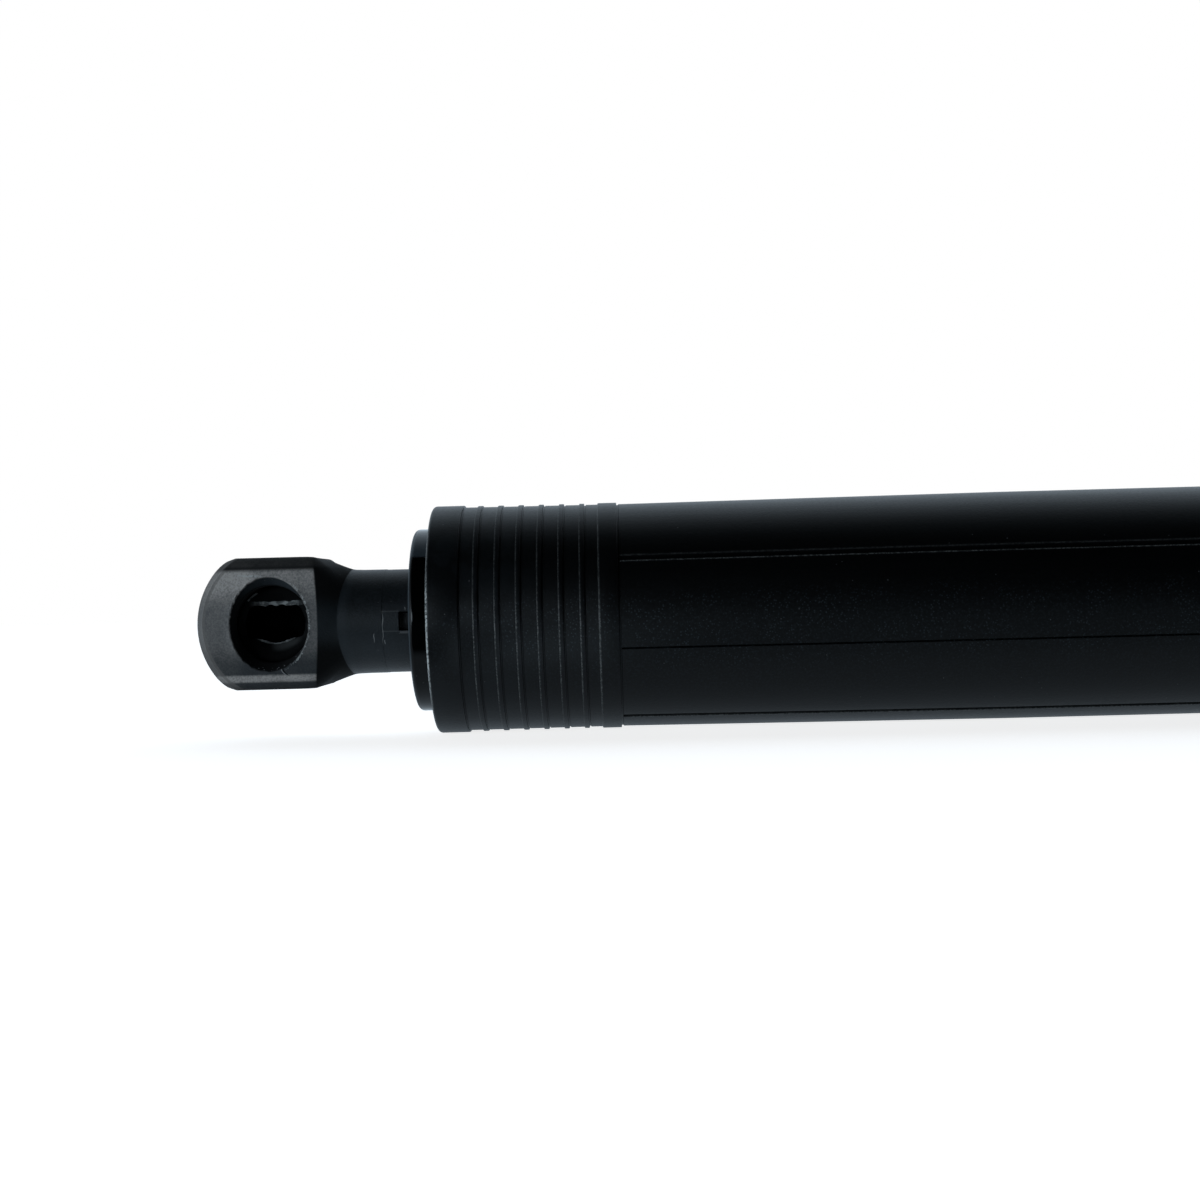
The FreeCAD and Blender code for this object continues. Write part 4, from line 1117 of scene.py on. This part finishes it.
def floor_finish():
    """A pale floor, lifted to white for the camera, less its shadows. Gloss mirrors it evenly lit under and
    behind the strut, and ahead of it dark below the head, bright below the collar, dim along the sleeve."""
    finish = Finish("pale_floor")
    seen = finish.node("ShaderNodeLightPath", output="Is Camera Ray")
    mirrored = finish.node("ShaderNodeLightPath", output="Is Glossy Ray")
    under = finish.y.rises(-34.0, -24.0)
    ahead = 1 - under
    ahead_glow = 0.03 + finish.x.rises(22.0, 36.0) * (1.25 - 0.95 * finish.x.rises(34.0, 66.0))
    mirrored_glow = under * 0.46 + ahead * ahead_glow
    pale = finish.mixed(mirrored * ahead, grey(0.9), BLACK)
    tone = finish.mixed(seen, finish.mixed(under, grey(1.0, COOL), LIGHT), WHITE)
    strength = seen * 0.80 + mirrored * mirrored_glow
    base = finish.node("ShaderNodeBsdfDiffuse", {"Color": pale})
    glow = finish.node("ShaderNodeEmission", {"Color": tone, "Strength": strength})
    both = finish.node("ShaderNodeAddShader", [base, glow])
    finish.node("ShaderNodeOutputMaterial", {"Surface": both})
    return finish.material


def add_floor():
    """A wide flat floor just under the sleeve, as a grid of square cells."""
    line = FLOOR_CELLS + 1
    side = np.linspace(-FLOOR_HALF, FLOOR_HALF, line)
    x, y = np.meshgrid(side + FLOOR_X, side, indexing="ij")
    points = np.stack([x, y, np.full(x.shape, FLOOR_Z)], -1).reshape(-1, 3)
    row, column = np.meshgrid(np.arange(FLOOR_CELLS), np.arange(FLOOR_CELLS), indexing="ij")
    first = (row * line + column).ravel()
    faces = np.stack([first, first + line, first + line + 1, first + 1], -1)
    mesh = bpy.data.meshes.new("floor")
    mesh.from_pydata(points.tolist(), [], faces.tolist())
    mesh.materials.append(floor_finish())
    floor = bpy.data.objects.new("floor", mesh)
    bpy.context.scene.collection.objects.link(floor)


def add_world():
    """Soft light from above and behind that fades to a dark room in front. The camera sees plain white."""
    world = bpy.data.worlds.new("studio")
    bpy.context.scene.world = world
    studio = Nodes(world)
    seen = studio.node("ShaderNodeLightPath", output="Is Camera Ray")
    heading = studio.node("ShaderNodeTexCoord", output="Generated")
    behind = studio.node("ShaderNodeSeparateXYZ", [heading], output="Y")
    slope = [behind, 0.0, 0.75, DARK_ROOM, 1.0]
    fading = studio.node("ShaderNodeMapRange", slope, interpolation_type="SMOOTHSTEP")
    strength = studio.node("ShaderNodeMix", {MIX_FACTOR: seen, MIX_VALUES[0]: fading, MIX_VALUES[1]: 1.0})
    tone = studio.mixed(seen, LIGHT, WHITE)
    light = studio.node("ShaderNodeBackground", {"Color": tone, "Strength": strength})
    studio.node("ShaderNodeOutputWorld", {"Surface": light})


def add_key_lamp():
    """A soft wide lamp at the left front that faces the head."""
    lamp = bpy.data.objects.new("key", bpy.data.lights.new("key", "AREA"))
    lamp.data.shape = "RECTANGLE"
    lamp.data.size = KEY_WIDTH
    lamp.data.size_y = KEY_HEIGHT
    lamp.data.energy = KEY_POWER
    lamp.data.color = LIGHT[:3]
    facing = (KEY_AIM - KEY_PLACE).to_track_quat("-Z", "Y").to_matrix().to_4x4()
    lamp.matrix_world = Matrix.Translation(KEY_PLACE) @ facing
    bpy.context.scene.collection.objects.link(lamp)


# Everything together


def add_sockets():
    """The ball socket and its snap cup, at both ends of the strut."""
    near_skin = head_finish("dark_filled_plastic")
    far_skin = head_finish("dark_filled_plastic_far_end", far_end=True)
    near_cup = cup_finish("black_bearing_plastic")
    far_cup = cup_finish("black_bearing_plastic_far_end", far_end=True)
    head, cup = socket_shape(), cup_shape()
    far_head, far_seat = at_far_end(head), at_far_end(cup)
    add_piece("rod_end_head", head, "rod", near_skin, "rod_ball_socket", HEAD_SHARP)
    add_piece("motor_end_head", far_head, "housing", far_skin, "housing_ball_socket", HEAD_SHARP)
    add_piece("rod_end_cup", cup, "rod", near_cup, "rod_ball_cup")
    add_piece("motor_end_cup", far_seat, "housing", far_cup, "housing_ball_cup")


def add_tubes():
    """The sleeve with its collar, both tubes and the cable outlet."""
    coated = plain_plastic("black_coated_metal", 0.006, 0.32, COOL)
    rubber = plain_plastic("black_rubber", 0.012, 0.6)
    sleeve = turned(sleeve_outline(), sleeve_angles(), carve=sleeve_carving)
    inner_tube = turned(inner_tube_outline(), even_angles(128))
    housing_tube = turned(housing_tube_outline(), even_angles(128))
    outlet = turned(outlet_outline(), even_angles(64), centre_y=OUTLET_Y)
    add_piece("long_sleeve", sleeve, "housing", sleeve_finish(), "cover_sleeve")
    add_piece("sliding_tube", inner_tube, "rod", gloss_finish(), "inner_tube")
    add_piece("metal_tube", housing_tube, "housing", coated, "housing_tube")
    add_piece("cable_outlet_ring", outlet, "housing", rubber, "cable_gland")


def add_drive():
    """The stretching spring, the spindle, and finishes for the drive's solids whose shape is kept."""
    spring = metal_finish("spring_steel", 0.20, 0.35)
    steel = metal_finish("ground_steel", 0.50, 0.22)
    alloy = metal_finish("turned_alloy", 0.55, 0.28)
    nut = plain_plastic("white_gear_plastic", 0.62, 0.35)
    guide = plain_plastic("dark_inner_plastic", 0.03, 0.45)
    board = plain_plastic("green_board", 0.10, 0.4, BOARD_GREEN)
    wire, screw = spring_shape(), spindle_shape()
    coil = add_piece("main_spring_coil", wire, None, spring, "main_spring", WIRE_SHARP)
    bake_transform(coil)
    add_piece("threaded_spindle", screw, "spindle", steel, "spindle", THREAD_SHARP)
    kept = {
        alloy: ("rod_tube", "motor"),
        steel: ("spindle_bearing", "motor_shaft", "planet_carrier"),
        nut: ("spindle_nut", "planet_gear_a", "planet_gear_b", "planet_gear_c"),
        guide: ("guide_housing",),
        board: ("sensor_board",),
    }
    for finish, names in kept.items():
        for name in names:
            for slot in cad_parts[name].material_slots:
                slot.material = finish


def main():
    """Builds the pieces, the stage and the view."""
    bpy.context.scene.view_settings.view_transform = "Standard"
    add_sockets()
    add_tubes()
    add_drive()
    add_camera()
    add_floor()
    add_world()
    add_key_lamp()


main()
